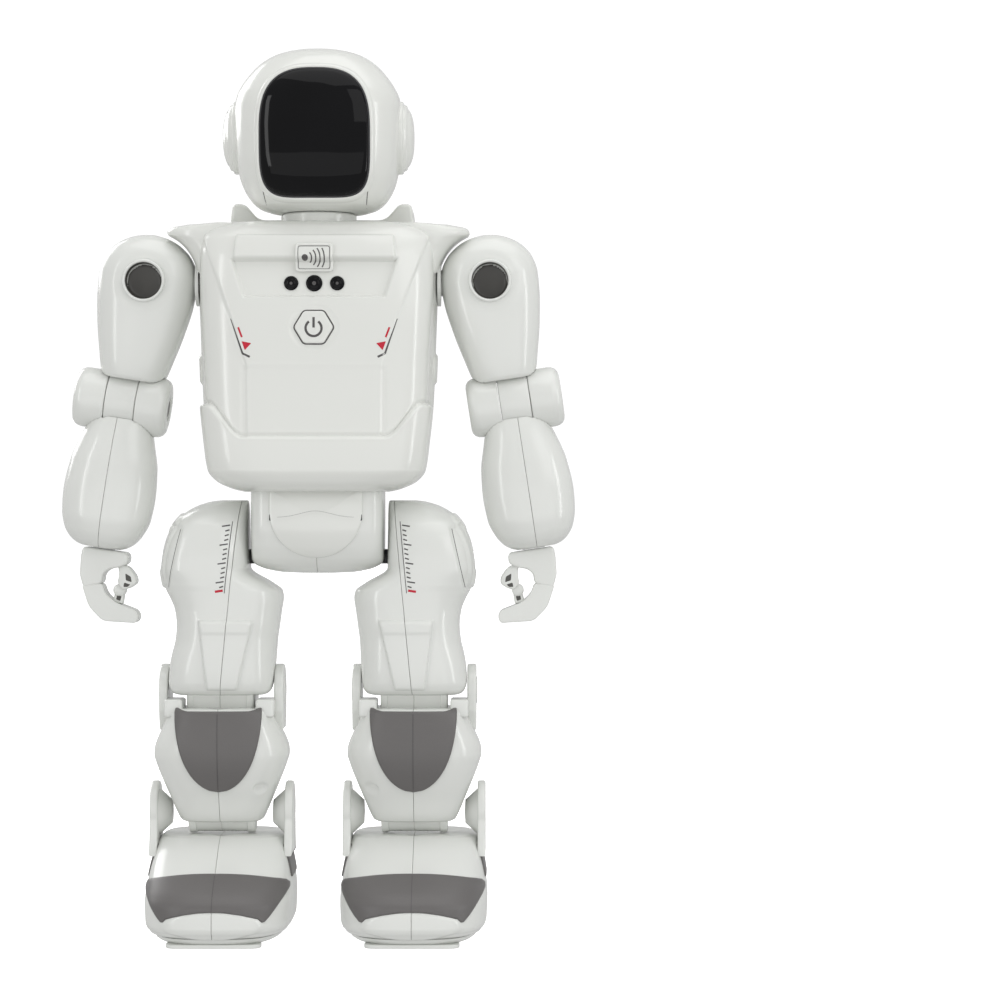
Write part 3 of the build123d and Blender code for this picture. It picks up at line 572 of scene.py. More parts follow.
def clear_black(name, roughness):
    """Polished near-black acrylic, with the faintest haze in its gloss."""
    finish = Finish(name)
    haze = finish.noise(60.0, 3.0)
    return finish.plastic(
        Base_Color=finish.tint(haze, (0.0035, 0.0035, 0.004), (0.006, 0.006, 0.007)),
        Roughness=roughness - 0.01 + haze * 0.03, Specular_IOR_Level=0.15)


# This grey prints marks and seam lines, and also paints shade into the crease lines at the chin and
# the hip.
INK_AND_SHADE_GREY = ink("printed_and_shade_grey", (0.09, 0.085, 0.085))
INK_RED = ink("printed_red", (0.58, 0.006, 0.03))
BLACK = clear_black("lens_black", 0.08)

BUTTON_EDGE = ((0.0, -0.6), (0.0, 0.7), (0.15, 0.95), (0.45, 1.08), (0.9, 1.08))
button_mesh = laid(rounded(BUTTON_HEX, 1.1), BUTTON_EDGE, CHEST)
piece("power_button_cap", button_mesh, WHITE, "power_button", ["power_button"])
BUTTON = surface(button_mesh)
piece("power_button_mark", joined(
    stroke(arc((0, BUTTON_Z - 0.4), 3.2, 125, 415), 0.95, BUTTON),
    stroke(straight((0, BUTTON_Z - 0.2), (0, BUTTON_Z + 4.0)), 0.95, BUTTON)),
    INK_AND_SHADE_GREY, "power_button", slot="grey_trim")
gap_hex = [(x * 1.05, BUTTON_Z + (z - BUTTON_Z) * 1.05) for x, z in BUTTON_HEX]
piece("power_button_gap", outlined(rounded(gap_hex, 1.3), 0.55, CHEST, height=0.02), INK_AND_SHADE_GREY,
      "torso", slot="inner_dark")


def box_outline(x_low, x_high, z_low, z_high, radius, spacing=0.4):
    """Rectangle with rounded corners."""
    corners = [(x_low, z_low), (x_high, z_low), (x_high, z_high), (x_low, z_high)]
    return rounded(corners, radius, spacing)


BADGE_EDGE = ((0.0, -1.6), (0.0, 1.5), (0.25, 1.95), (0.7, 2.05), (1.05, 1.95), (1.25, 1.65))
badge_mesh = laid(box_outline(-7.6, 7.6, 269.7, 281.2, 1.6), BADGE_EDGE, CHEST, level=0.6)
piece("sensor_badge", badge_mesh, WHITE, "torso", ["gesture_badge"])
BADGE = surface(badge_mesh)
frame_line = box_outline(-6.35, 6.35, 270.9, 280.0, 1.0)
SOURCE = (-3.6, 275.4)
waves = [stroke(arc(SOURCE, radius, -spread, spread, 18), 0.5, BADGE)
         for radius, spread in ((2.7, 46), (4.4, 42), (6.1, 37), (7.8, 29))]
source_dot = laid(arc(SOURCE, 1.25, 0, 345, 24), ((0.0, 0.05),), BADGE, rings=2)
piece("sensor_badge_print", joined(outlined(frame_line, 0.28, BADGE), source_dot, *waves),
      INK_AND_SHADE_GREY, "torso", slot="grey_trim")

LENS_X, LENS_Z = (0.0, -9.25, 9.25), 265.2
LENS_EDGE = ((0.0, -0.5), (0.0, 0.4), (0.15, 0.55), (0.45, 0.5), (0.65, 0.3), (0.9, 0.26))
lenses = joined(*[laid(arc((x, LENS_Z), radius, 0, 352, 46), LENS_EDGE, CHEST, rings=6, crown=0.45)
                  for x, radius in zip(LENS_X, (3.3, 2.9, 2.9))])
piece("sensor_lens_caps", lenses, BLACK, "torso", ["sensor_lenses"], slot="black_gloss")
LENSES = surface(lenses)
eyes = joined(*[laid(arc((x, LENS_Z), radius, 0, 345, 24), ((0.0, 0.06),), LENSES, rings=2)
                for x, radius in zip(LENS_X, (0.8, 0.6, 0.6))])
piece("sensor_lens_eyes", eyes, INK_AND_SHADE_GREY, "torso", slot="grey_trim")

hook = np.vstack((straight((33.4, 250.9), (28.5, 236.9)), straight((28.5, 236.9), (25.6, 235.5))))
pair("{}_chest_hook", stroke(hook, 0.62, CHEST, taper=(0.5, 1.4)), INK_AND_SHADE_GREY, "torso",
     slot="grey_trim")
triangle = rounded([(25.0, 241.0), (27.6, 238.2), (28.9, 241.8)], 0.2, 0.25)
arrow = joined(laid(triangle, ((0.0, 0.05),), CHEST, rings=3),
               stroke(straight((30.3, 247.4), (28.8, 243.4)), 0.75, CHEST))
pair("{}_chest_arrow", arrow, INK_RED, "torso", slot="grey_trim")

# ---- Back and inside --------------------------------------------------------------------------
# A moulded backpack holds the battery behind a screwed door, a speaker behind a grille and a slide
# switch. The boards, battery, speaker and gearbox sit out of sight inside the shells.
# Besides the real inner parts, this dark also paints in the shade of the pelvis slots.
DARK = satin_dark("inner_plastic_and_shade", (0.035, 0.035, 0.038), 0.5)


def circuit_green():
    """Solder mask over copper: deep green with a faint weave of tracks."""
    finish = Finish("circuit_board")
    tracks = finish.add("ShaderNodeTexBrick", {"offset": 0.35}, {
        "Vector": finish.place, "Scale": 220.0, "Mortar Size": 0.03,
        "Color1": (0.01, 0.09, 0.035, 1), "Color2": (0.012, 0.12, 0.05, 1),
        "Mortar": (0.05, 0.2, 0.09, 1)})
    wear = finish.noise(300.0, 2.0)
    return finish.plastic(Base_Color=tracks.outputs["Color"], Roughness=0.35 + wear * 0.1)


def zinc_steel():
    """Zinc-plated screw: bright, slightly mottled metal."""
    finish = Finish("zinc_steel")
    mottle = finish.noise(700.0, 3.0)
    return finish.plastic(Base_Color=finish.tint(mottle, (0.5, 0.5, 0.52), (0.66, 0.66, 0.67)),
                          Roughness=0.25 + mottle * 0.15, Metallic=1.0)


def slab(outline, low, high, bevel, axis="y"):
    """Plate between two heights along an axis, with rounded edges, from an outline."""
    curve = np.radians(np.linspace(0, 90, 5))
    steps = [(1 - math.sin(a), low + bevel * (1 - math.cos(a))) for a in curve]
    steps += [(share, low + high - height) for share, height in steps[::-1]]
    flats = [inset(outline, share * bevel) for share, _ in steps]
    return filled(np.array([np.insert(flat, "xyz".index(axis), height, axis=1)
                            for flat, (_, height) in zip(flats, steps)]))


def turned(profile, centre, axis, around=96):
    """Turned piece: profile lists (place along the axis, radius) from one end to the other."""
    angles = np.linspace(0, 2 * math.pi, around + 1)[:-1]
    other = {"x": (1, 2), "y": (2, 0), "z": (0, 1)}[axis]
    rows = np.zeros((len(profile), around, 3))
    for row, (place, radius) in zip(rows, profile):
        row[:, "xyz".index(axis)] = place
        row[:, other[0]] = max(radius, 0.02) * np.cos(angles)
        row[:, other[1]] = max(radius, 0.02) * np.sin(angles)
        row += centre
    return filled(rows)


def two_sided(right_half, radii, spacing=0.8):
    """Rounded outline made of its right half, from the bottom up, and the mirror image of it."""
    right = np.array(right_half, float)
    corners = np.vstack((right, right[::-1] * (-1, 1)))
    return rounded(np.roll(corners, 1, 0), np.roll(np.r_[radii, radii[::-1]], 1), spacing)


FRONT, REAR, PAST = 19.0, 49.2, 51.0
backpack_outline = two_sided(
    [(30, 204), (37, 211), (39, 262), (39.2, 288), (37.6, 302.3), (32.3, 302.3), (26.5, 295.5)],
    [5, 5, 20, 20, 2.4, 2.4, 3])
backpack_form = slab(backpack_outline, FRONT, REAR, 1.5)
grille = [slab(box_outline(-13, 13, z - 0.8, z + 0.8, 0.8), 45.0, PAST, 0.05)
          for z in np.arange(258.0, 279.0, 4.0)]
JACK = (-29.5, 0, 226)
openings = joined(
    slab(box_outline(-24.15, 24.15, 211.85, 246.15, 1.6), 46.2, PAST, 0.05),
    slab(box_outline(27.8, 31.2, 221.0, 231.0, 0.8), 43.0, PAST, 0.05),
    turned([(44.0, 0.0), (44.0, 1.8), (PAST, 1.8), (PAST, 0.0)], JACK, "y", 40), *grille)
piece("backpack_case", backpack_form, WHITE, "torso", ["backpack_shell"], openings=openings)
speaker_cloth = slab(box_outline(-14, 14, 256, 280, 1.0), 44.5, 45.15, 0.05)
jack_floor = turned([(43.6, 0.0), (43.6, 1.9), (44.15, 1.9), (44.15, 0.0)], JACK, "y", 40)
jack_pin = turned([(44.0, 0.0), (44.0, 0.55), (47.5, 0.5), (48.0, 0.25), (48.0, 0.0)], JACK, "y",
                  24)
piece("backpack_openings", joined(speaker_cloth, jack_floor, jack_pin), DARK, "torso",
      slot="inner_dark")
BACKPACK_FACE = surface(backpack_form)
border = two_sided([(27.5, 208.5), (32.6, 213.0), (34.4, 262), (34.4, 288), (24.5, 291)],
                   [4, 4, 9, 4, 4])
piece("backpack_border", outlined(border, 0.35, BACKPACK_FACE, "back", height=0.02), INK_AND_SHADE_GREY,
      "torso", slot="inner_dark")


def coated(finish, *node_names):
    """Gives a material to pieces that are shown as they come from the frame."""
    for node_name in node_names:
        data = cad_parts[node_name].data
        data.materials.clear()
        data.materials.append(finish)


coated(WHITE, "battery_door")
coated(LIMB_WHITE, "neck_post", "left_shoulder_hub", "right_shoulder_hub")
coated(DARK, "power_switch", "battery_pack", "speaker", "walk_gearbox")
coated(circuit_green(), "main_board", "eye_board")
coated(zinc_steel(), "body_screws")

# ---- Head -------------------------------------------------------------------------------------
# A helmet of two white mouldings round a wide polished black visor. The visor drops into a bevelled
# rim with a thin gasket line, and a stepped round pod is pressed onto each side.
HEAD_KEYS = sections(0, [
    (295.9, 15.5, -15.0, 15.0, 2.6), (296.7, 20.0, -19.0, 19.0, 2.6),
    (298.4, 24.6, -23.6, 23.6, 2.7), (301.8, 28.2, -27.6, 27.6, 2.8),
    (306.0, 30.6, -30.4, 30.4, 2.9), (310.0, 32.0, -31.9, 31.9, 3.0),
    (318.0, 33.4, -33.1, 33.1, 3.1), (330.0, 34.2, -33.6, 33.5, 3.1),
    (338.0, 34.2, -33.4, 33.2, 3.0), (343.0, 33.4, -32.7, 32.2, 2.9),
    (347.0, 31.6, -31.3, 30.6, 2.8), (351.2, 28.8, -28.8, 27.8, 2.7),
    (355.4, 25.2, -25.2, 24.2, 2.6), (359.5, 19.8, -20.0, 19.0, 2.4),
    (361.8, 14.0, -14.4, 13.6, 2.3), (363.0, 8.0, -8.6, 8.0, 2.2), (363.4, 3.0, -3.4, 3.0, 2.0)])


def helmet_seam(height):
    """Depth of the seam between the two halves, which meets the middle at the crown."""
    return 4.0 * min(1.0, (363.4 - height) / 8.0)


EYE_Z, VISOR_WIDE, VISOR_RISE, VISOR_FALL, VISOR_TAPER = 325.5, 22.4, 27.0, 25.4, 1.2


def visor_outline():
    """The visor's edge: a tall arch above the eyes, squarer and a little narrower below them."""
    turn = np.linspace(0, 2 * math.pi, 241)[:-1]
    c, s = np.cos(turn), np.sin(turn)
    arch = np.where(s > 0, 2.8, 5.2)
    wide = np.where(s > 0, VISOR_WIDE, VISOR_WIDE - VISOR_TAPER * np.abs(s) ** 1.5)
    tall = np.where(s > 0, VISOR_RISE, VISOR_FALL)
    return looping(np.stack((wide * np.sign(c) * np.abs(c) ** (2 / arch),
                             EYE_Z + tall * np.sign(s) * np.abs(s) ** (2 / arch)), 1), 220)


def helmet_relief(points, normals):
    """Sinks the visor's bed below its rim."""
    x, y, z = points[..., 0], points[..., 1], points[..., 2]
    power = np.where(z > EYE_Z, 2.8, 4.4)
    tall = np.where(z > EYE_Z, VISOR_RISE, VISOR_FALL)
    below = np.clip((EYE_Z - z) / VISOR_FALL, 0, 1)
    wide = VISOR_WIDE - VISOR_TAPER * below**3
    size = (np.abs(x / wide) ** power + np.abs((z - EYE_Z) / tall) ** power) ** (1 / power)
    return -2.0 * smooth(0.975 - size, 0.04) * (y < -5)


VISOR = visor_outline()
helmet_front = moulding(HEAD_KEYS, 0.7, seam=(1, helmet_seam), keep=-1, relief=helmet_relief,
                        fine=0.6)
plain_front = surface(moulding(HEAD_KEYS, 1.2, seam=(1, helmet_seam), keep=-1))


def banded(edge):
    """Band that follows the visor's edge, its section given as (inward, height) points."""
    rows = draped([(inset(VISOR, inward), height) for inward, height in edge], plain_front)
    faces = strip_faces(rows)
    return seen_from("front", rows.reshape(-1, 3), faces, faces[len(faces) // 2])


rim = banded(((-2.3, -0.25), (-1.9, 0.05), (-1.2, 0.42), (-0.5, 0.62), (-0.1, 0.5), (0.15, 0.1),
              (0.15, -1.6)))
# The lines from the visor's lower corners down to the chin are painted shade: thin grey strokes for
# the shading of the creases there.
chin = [stroke(straight((side * 21.2, 303.5), (side * 20.2, 297.2)), 0.34, plain_front,
               height=0.03) for side in (1, -1)]
piece("helmet_front", joined(helmet_front, rim), WHITE, "head", ["head_front_shell"])
piece("helmet_chin_shade_lines", joined(*chin), INK_AND_SHADE_GREY, "head", slot="inner_dark")
piece("helmet_back", moulding(HEAD_KEYS, 1.0, seam=(1, helmet_seam), keep=1), WHITE, "head",
      ["head_back_shell"])
gasket = banded(((0.1, -0.6), (0.1, 0.2), (0.35, 0.3), (0.7, 0.1), (0.7, -0.8)))
piece("visor_gasket", gasket, DARK, "head", slot="inner_dark")
glass = laid(VISOR, ((0.45, -1.2), (0.45, -0.2), (0.75, 0.12), (1.3, 0.3)), plain_front, rings=26,
             crown=0.5)
piece("visor_glass", glass, clear_black("visor_black", 0.05), "head", ["visor"],
      slot="black_gloss")

EAR_PROFILE = [
    (31.2, 15.0), (34.3, 14.9), (34.8, 14.65), (34.95, 14.2), (35.05, 13.8), (36.2, 13.25),
    (36.5, 12.85), (36.6, 12.4), (36.7, 12.0), (37.5, 11.1), (38.2, 9.6), (38.8, 7.6), (39.15, 5.4),
    (39.3, 2.8), (39.3, 0.0)]
pod = turned(EAR_PROFILE, (0, 0, 327.3), "x")
piece("ear_pod_caps", joined(pod, mirrored(pod)), WHITE, "head", ["ear_pods"])

# ---- Pelvis -----------------------------------------------------------------------------------
# Two glossy shells joined on the centre line, with a U-shaped cover snapped over the front.
HIP_KEYS = sections(0, [
    (148.3, 7.0, -5.0, 1.0, 2.4), (148.7, 15.0, -8.5, 4.5, 2.6), (150.3, 22.5, -12.0, 8.0, 3.2),
    (152.4, 26.2, -14.8, 10.8, 4.6), (154.5, 27.0, -16.8, 12.8, 5.5),
    (160.0, 27.1, -20.0, 16.0, 6.0), (168.0, 27.1, -22.0, 18.0, 6.0),
    (176.0, 27.1, -22.0, 18.0, 6.0), (183.5, 27.1, -21.0, 17.0, 6.0)])
pelvis = moulding(HIP_KEYS, 0.8, seam=(0, 0.0), keep=1)
PELVIS = surface(moulding(HIP_KEYS, 0.8))
pair("{}_pelvis_half", pelvis, LIMB_WHITE, "torso", ["{}_pelvis_shell"])
COVER_X, COVER_TOP = 18.9, 182.5
u_turn = np.radians(np.linspace(180, 360, 61))
u_bend = np.stack((COVER_X * np.cos(u_turn), 173.5 + 18.6 * np.sin(u_turn)), 1)
u_shape = looping(np.vstack((u_bend, [(COVER_X, COVER_TOP), (-COVER_X, COVER_TOP)])), 180)
cover = laid(u_shape, ((0.0, -0.4), (0.0, 0.35), (0.2, 0.65), (0.6, 0.85), (1.4, 0.95)), PELVIS,
             rings=16, crown=1.6)
piece("pelvis_cover", cover, WHITE, "torso", ["pelvis_front_cover"])
COVER = surface(cover)
# A thin mid-grey line along the top edge of the lip is painted shade for the fold there.
FOLD_SHADE_GREY = ink("painted_fold_shade", (0.3, 0.3, 0.295))
lip_x = np.linspace(-15.5, 15.5, 50)
lip_line = np.stack((lip_x, 170.6 + 2.6 * np.exp(-(lip_x / 8.5) ** 2)), 1)
piece("pelvis_cover_lip", stroke(lip_line, 0.9, COVER, height=0.12), WHITE, "torso")
piece("pelvis_cover_fold_shade", stroke(lip_line + (0, 0.58), 0.12, COVER, height=0.03), FOLD_SHADE_GREY,
      "torso", slot="grey_trim")
# The small slots at the sides of the cover are not cut: dark patches laid on it paint in the shade
# inside them.
slot_shade = [laid(box_outline(x - 0.5, x + 0.5, 169.8, 172.4, 0.45, 0.2), ((0.0, 0.75),), PELVIS,
              rings=2) for x in (18.2, -18.2)]
piece("pelvis_slot_shade", joined(*slot_shade), DARK, "torso", slot="inner_dark")

# ---- Upper arms -------------------------------------------------------------------------------
# Each upper arm is a front and a back shell screwed together over the shoulder hub. A round hole in
# front, with a raised collar, holds a deep grey cup that covers the screw into the hub. The cup's
# grey
# is darker than its plastic: it paints in the shade of the hole.
ARM_SPLAY = math.radians(-8.6)
ARM = Matrix.Translation((SHOULDER[0], 0, SHOULDER[1])) @ Matrix.Rotation(ARM_SPLAY, 4, "Y")
ELBOW_Z = -50.0
UPPER_KEYS = [
    (-40.6, -10.3, 10.7, -11.0, 11.0, 2.5), (-40.2, -11.7, 12.1, -12.1, 12.1, 2.6),
    (-39.0, -12.6, 13.0, -13.0, 13.0, 2.7), (-30.0, -15.2, 15.4, -14.8, 14.8, 2.7),
    (-18.0, -18.0, 18.0, -15.8, 15.8, 2.7), (-6.0, -19.9, 19.7, -16.2, 16.2, 2.7),
    (2.0, -20.2, 20.1, -16.2, 16.2, 2.6), (8.0, -18.9, 18.9, -15.4, 15.4, 2.5),
    (13.0, -15.9, 15.9, -13.6, 13.6, 2.4), (17.0, -11.0, 11.0, -10.0, 10.0, 2.2),
    (19.2, -5.6, 5.6, -5.4, 5.4, 2.1), (19.9, -1.5, 1.5, -1.5, 1.5, 2.0)
]


def shoulder_hole(points, normals):
    """Hole for the socket cup, and the soft dish round it."""
    reach = np.hypot(points[..., 0], points[..., 2])
    front = points[..., 1] < 0
    return front * (-6.5 * smooth(7.9 - reach, 0.9) - 0.35 * smooth(11.5 - reach, 3.0))


def hugging(mesh, side, radius):
    """Ends a shell in a saddle round the elbow's barrel: side 1 is above the barrel, -1 below."""
    points, faces = mesh
    points = points.copy()
    saddle = np.sqrt(np.maximum(radius**2 - points[:, 1] ** 2, 0))
    points[:, 2] = side * np.maximum(side * points[:, 2], side * ELBOW_Z + saddle)
    return points, faces


def looped(profile, centre, axis, around=96):
    """Turned ring: the profile closes on itself and leaves a hole through the middle."""
    rows = turned(profile, centre, axis, around)[0].reshape(len(profile), around, 3)
    rows = np.concatenate((rows, rows[:1]))
    return facing_out(rows.reshape(-1, 3), strip_faces(rows))


COLLAR = [(-14.6, 8.9), (-16.3, 8.75), (-16.85, 8.45), (-17.0, 8.05), (-16.8, 7.65),
          (-16.2, 7.45), (-13.0, 7.4), (-13.0, 8.2)]
CUP = [(-9.4, 0.0), (-9.4, 7.8), (-15.8, 7.8), (-16.1, 7.6), (-16.0, 7.4), (-11.2, 7.1),
       (-10.4, 6.6), (-10.1, 5.6), (-10.0, 0.0)]
KNUCKLE_SADDLE = 12.65
# The socket grey is darker than the cup's own grey plastic, to paint in the shade of the deep hole.
# The elbow pins share it, and on the hands it paints the shade in the pockets.
SOCKET_AND_SHADE_GREY = satin_dark("socket_grey_and_painted_shade", (0.078, 0.075, 0.068), 0.36)
upper_front = hugging(moulding(UPPER_KEYS, 0.75, seam=(1, 0.0), keep=-1, relief=shoulder_hole),
                      1, KNUCKLE_SADDLE)
upper_back = hugging(moulding(UPPER_KEYS, 1.0, seam=(1, 0.0), keep=1), 1, KNUCKLE_SADDLE)
pair("{}_arm_front", joined(upper_front, looped(COLLAR, (0, 0, 0), "y")), LIMB_WHITE,
     "{}_upper_arm", ["{}_upper_arm_front_shell"], place=ARM)
pair("{}_arm_back", upper_back, LIMB_WHITE, "{}_upper_arm", ["{}_upper_arm_back_shell"], place=ARM)
pair("{}_socket_cup", turned(CUP, (0, 0, 0), "y"), SOCKET_AND_SHADE_GREY, "{}_upper_arm",
     ["{}_shoulder_socket"], slot="grey_trim", place=ARM)

# ---- Elbows and forearms ----------------------------------------------------------------------
# The elbow is a short barrel. The knuckle in the middle belongs to the upper arm, and the two
# cheeks are moulded in one with the inner and outer halves of the egg-shaped forearm.
FOREARM_KEYS = [
    (-110.3, -5.2, 10.8, -8.0, 8.0, 2.3), (-109.6, -7.4, 13.0, -10.0, 10.0, 2.4),
    (-107.5, -10.4, 16.0, -12.8, 12.8, 2.5), (-103.5, -13.2, 18.8, -15.2, 15.2, 2.6),
    (-97.0, -15.5, 20.7, -16.7, 16.7, 2.6), (-88.0, -16.1, 21.4, -16.8, 16.8, 2.6),
    (-76.0, -15.2, 20.3, -16.0, 16.0, 2.6), (-66.0, -12.7, 17.6, -14.2, 14.2, 2.5),
    (-61.0, -11.4, 15.8, -12.6, 12.6, 2.5), (-55.0, -10.0, 13.8, -10.0, 10.0, 2.5)
]
ELBOW_AXIS = (0, 0, ELBOW_Z)
OUTER_CHEEK = [(9.2, 0.0), (9.2, 11.9), (9.4, 12.2), (9.8, 12.3), (17.8, 12.3), (19.6, 12.05),
               (21.0, 11.3), (21.9, 10.1), (22.2, 8.6), (22.2, 5.4), (22.1, 5.1), (21.3, 4.9),
               (21.3, 0.0)]
INNER_CHEEK = [(-15.6, 0.0), (-15.6, 4.9), (-16.4, 5.1), (-16.5, 5.4), (-16.5, 8.6),
               (-16.2, 10.1), (-15.3, 11.3), (-13.9, 12.05), (-12.1, 12.3), (-4.2, 12.3),
               (-3.8, 12.2), (-3.6, 11.9), (-3.6, 0.0)]
KNUCKLE = [(-3.35, 0.0), (-3.35, 11.5), (-3.2, 11.9), (-2.8, 12.1), (8.4, 12.1), (8.8, 11.9),
           (8.95, 11.5), (8.95, 0.0)]
CHEEK_SADDLE, FOREARM_SEAM = 12.4, 2.8


def forearm_half(keep, cheek):
    """One half of the forearm with its cheek of the elbow."""
    shell = moulding(FOREARM_KEYS, 0.85, seam=(0, FOREARM_SEAM), keep=keep)
    return joined(hugging(shell, -1, CHEEK_SADDLE), turned(cheek, ELBOW_AXIS, "x"))


pins = [turned([(end, 0.0), (end, 3.4), (end + lift * 0.5, 3.3), (end + lift * 0.7, 2.8),
                (end + lift * 0.7, 0.0)], ELBOW_AXIS, "x", 48)
        for end, lift in ((21.2, 1), (-15.5, -1))]
pair("{}_elbow_band", turned(KNUCKLE, ELBOW_AXIS, "x"), LIMB_WHITE, "{}_upper_arm",
     ["{}_elbow_knuckle"], place=ARM)
pair("{}_forearm_outer", forearm_half(1, OUTER_CHEEK), LIMB_WHITE, "{}_forearm",
     ["{}_forearm_outer_shell"], place=ARM)
pair("{}_forearm_inner", forearm_half(-1, INNER_CHEEK), LIMB_WHITE, "{}_forearm",
     ["{}_forearm_inner_shell"], place=ARM)
pair("{}_elbow_pins", joined(*pins), SOCKET_AND_SHADE_GREY, "{}_forearm", slot="grey_trim", place=ARM)

# ---- Hands ------------------------------------------------------------------------------------
# One rigid moulding each: a flat palm, three fingers side by side that curl in to a blunt tip, and
# a stubby jointed thumb that nearly meets them, so the hand can hold a thin tube.
PALM = [(-8.6, -110.9), (-9.6, -112.5), (-9.6, -115.2), (-6.9, -117.2), (-2.4, -118.6),
        (-0.3, -121.0), (-0.5, -124.8), (6.9, -127.7), (9.2, -122.6), (9.9, -114.5), (9.4, -110.9)]
FINGER = [(-0.5, -124.9), (-2.3, -128.5), (-6.7, -131.7), (-15.8, -133.7), (-17.4, -136.2),
          (-16.7, -138.9), (-3.0, -140.1), (3.6, -135.0), (7.7, -126.7)]
THUMB = [(-5.4, -115.8), (-10.2, -116.6), (-13.6, -120.0), (-14.4, -122.8), (-11.5, -125.4),
         (-8.9, -126.3), (-6.4, -123.7), (-6.7, -120.2)]
THUMB_LINK = [(-6.4, -125.0), (-9.7, -125.8), (-9.7, -132.2), (-5.4, -131.6)]
THUMB_PIN = [(-3.4, 0.0), (-3.4, 2.2), (-3.1, 2.5), (3.1, 2.5), (3.4, 2.2), (3.4, 0.0)]
WRIST = [(-110.6, 0.0), (-110.6, 4.6), (-110.0, 4.9), (-106.0, 4.9), (-106.0, 0.0)]
POCKETS = ([(-9.2, -119.4), (-11.6, -120.4), (-12.3, -122.6), (-9.8, -122.2)],
           [(-9.3, -123.2), (-11.9, -123.6), (-10.9, -124.8), (-9.2, -125.0)],
           [(-7.0, -128.6), (-8.8, -129.0), (-8.6, -131.0), (-6.8, -130.6)])

finger_outline = rounded(FINGER, [1.2, *[2.2] * 7, 1.2], 0.35)
hand = joined(
    slab(rounded(PALM, 1.6, 0.35), -6.0, 6.0, 0.9),
    slab(rounded(THUMB, 1.5, 0.3), -4.4, 4.4, 0.7),
    slab(rounded(THUMB_LINK, 0.8, 0.3), -2.6, 2.6, 0.5),
    turned(THUMB_PIN, (-7.6, 0, -126.6), "y", 40), turned(WRIST, (1.5, 0, 0), "z", 48),
    *[slab(finger_outline, low, low + 3.85, 0.55) for low in (-5.9, -1.92, 2.05)])
HAND = surface(hand)
# The pockets in the thumb are not cut: grey patches laid flat on both faces paint in their shade.
pocket_shade = [laid(rounded(pocket, 0.4, 0.2), ((0.0, 0.04),), HAND, view, rings=2)
           for pocket in POCKETS for view in ("front", "back")]
pair("{}_hand_moulding", hand, LIMB_WHITE, "{}_hand", ["{}_hand"], place=ARM)
pair("{}_hand_pockets", joined(*pocket_shade), SOCKET_AND_SHADE_GREY, "{}_hand", slot="grey_trim", place=ARM)

# ---- Thighs -----------------------------------------------------------------------------------
# Two shells that meet in a slanting seam down the front: a wide hip with a raised side cover above,
# a bevelled inner ledge, and a tapering stiffening pad over the knee.
LEG_X, KNEE_Z, ANKLE_Z = 39.5, 99.0, 50.0
THIGH_KEYS = [
    (98.7, 21.8, 57.4, -15.5, 3.0, 3.0), (99.3, 20.2, 58.9, -18.4, 4.5, 3.0),
    (101.0, 18.9, 60.3, -20.6, 7.5, 3.0), (104.0, 18.2, 61.0, -21.7, 11.0, 3.1),
    (110.0, 17.7, 60.7, -22.4, 16.0, 3.1), (115.0, 17.4, 59.9, -22.5, 19.0, 3.1),
    (121.0, 17.0, 58.5, -22.5, 20.5, 3.0), (127.0, 16.2, 58.0, -22.8, 21.3, 3.0),
    (133.0, 15.4, 58.7, -23.0, 22.0, 3.0), (138.0, 14.7, 60.6, -23.3, 22.6, 3.0),
    (141.0, 15.2, 62.2, -23.5, 23.0, 3.0), (144.0, 19.0, 63.4, -23.8, 23.6, 3.0),
    (150.5, 28.4, 64.2, -24.0, 24.0, 3.2), (154.0, 28.4, 63.9, -24.0, 24.0, 3.2),
    (162.0, 28.5, 62.2, -23.0, 23.0, 3.0), (168.0, 28.6, 59.2, -20.5, 20.5, 2.9),
    (172.0, 28.6, 55.9, -17.0, 17.0, 2.8), (175.5, 28.7, 50.5, -12.0, 12.0, 2.6),
    (177.6, 28.9, 44.0, -7.0, 7.0, 2.4), (178.1, 29.5, 40.0, -4.0, 4.0, 2.2)
]
KNEE_PAD = [(25.8, 129.0), (47.2, 129.0), (44.0, 101.5), (32.2, 101.5)]


def thigh_seam(height):
    """The seam leans outwards from the top of the hip to the knee."""
    return 31.3 + (178.0 - height) * 0.097


def thigh_relief(points, normals):
    """Raised pad over the knee, the stepped hip cover on the side and the crease beside it."""
    x, y, z = points[..., 0], points[..., 1], points[..., 2]
    front = smooth(-y - 9, 7)
    pad = 1.55 * smooth(inside_polygon(x, z, KNEE_PAD), 1.1)
    band = 0.3 * smooth(z - 124.3, 0.7) * smooth(inside_polygon(x, z, KNEE_PAD) - 0.8, 0.8)
    crease = np.interp(z, (139.5, 142.0, 167.0, 170.0), (66.0, 60.2, 54.2, 62.0))
    facet = -0.9 * smooth(x - crease, 1.3) * smooth(np.abs(y) - 9.0, 4.0)
    cover_size = (np.abs(y / 15.5) ** 4 + np.abs((z - 157.5) / 15.0) ** 4) ** 0.25
    cover = 0.8 * smooth(1.0 - cover_size, 0.07) * smooth(normals[..., 0] - 0.55, 0.3)
    dish = -0.6 * smooth(0.62 - cover_size, 0.05) * smooth(normals[..., 0] - 0.55, 0.3)
    return front * (pad + band) + facet + cover + dish


def symmetric(middle, half):
    """Turned profile from its outer half, (distance out, radius), and the mirror image of it."""
    return ([(middle - out, radius) for out, radius in half]
            + [(middle + out, radius) for out, radius in half[::-1]])


thigh_outer, thigh_inner = [
    moulding(THIGH_KEYS, 0.8, seam=(0, thigh_seam), keep=keep, relief=thigh_relief, fine=0.7)
    for keep in (1, -1)]
DRUM = symmetric(LEG_X, [(13.6, 0.0), (13.6, 13.3), (13.3, 13.7), (12.9, 13.85), (10.9, 13.85),
                         (10.7, 13.45), (0.25, 13.45), (0.1, 13.1)])
knee_drum = turned(DRUM, (0, 0, KNEE_Z), "x")
THIGH = surface(joined(thigh_outer, thigh_inner))


def tick(height, length, width):
    """One mark of the printed scale beside the seam."""
    start = thigh_seam(height) + 2.6
    return stroke(straight((start, height), (start + length, height - 0.5)), width, THIGH)


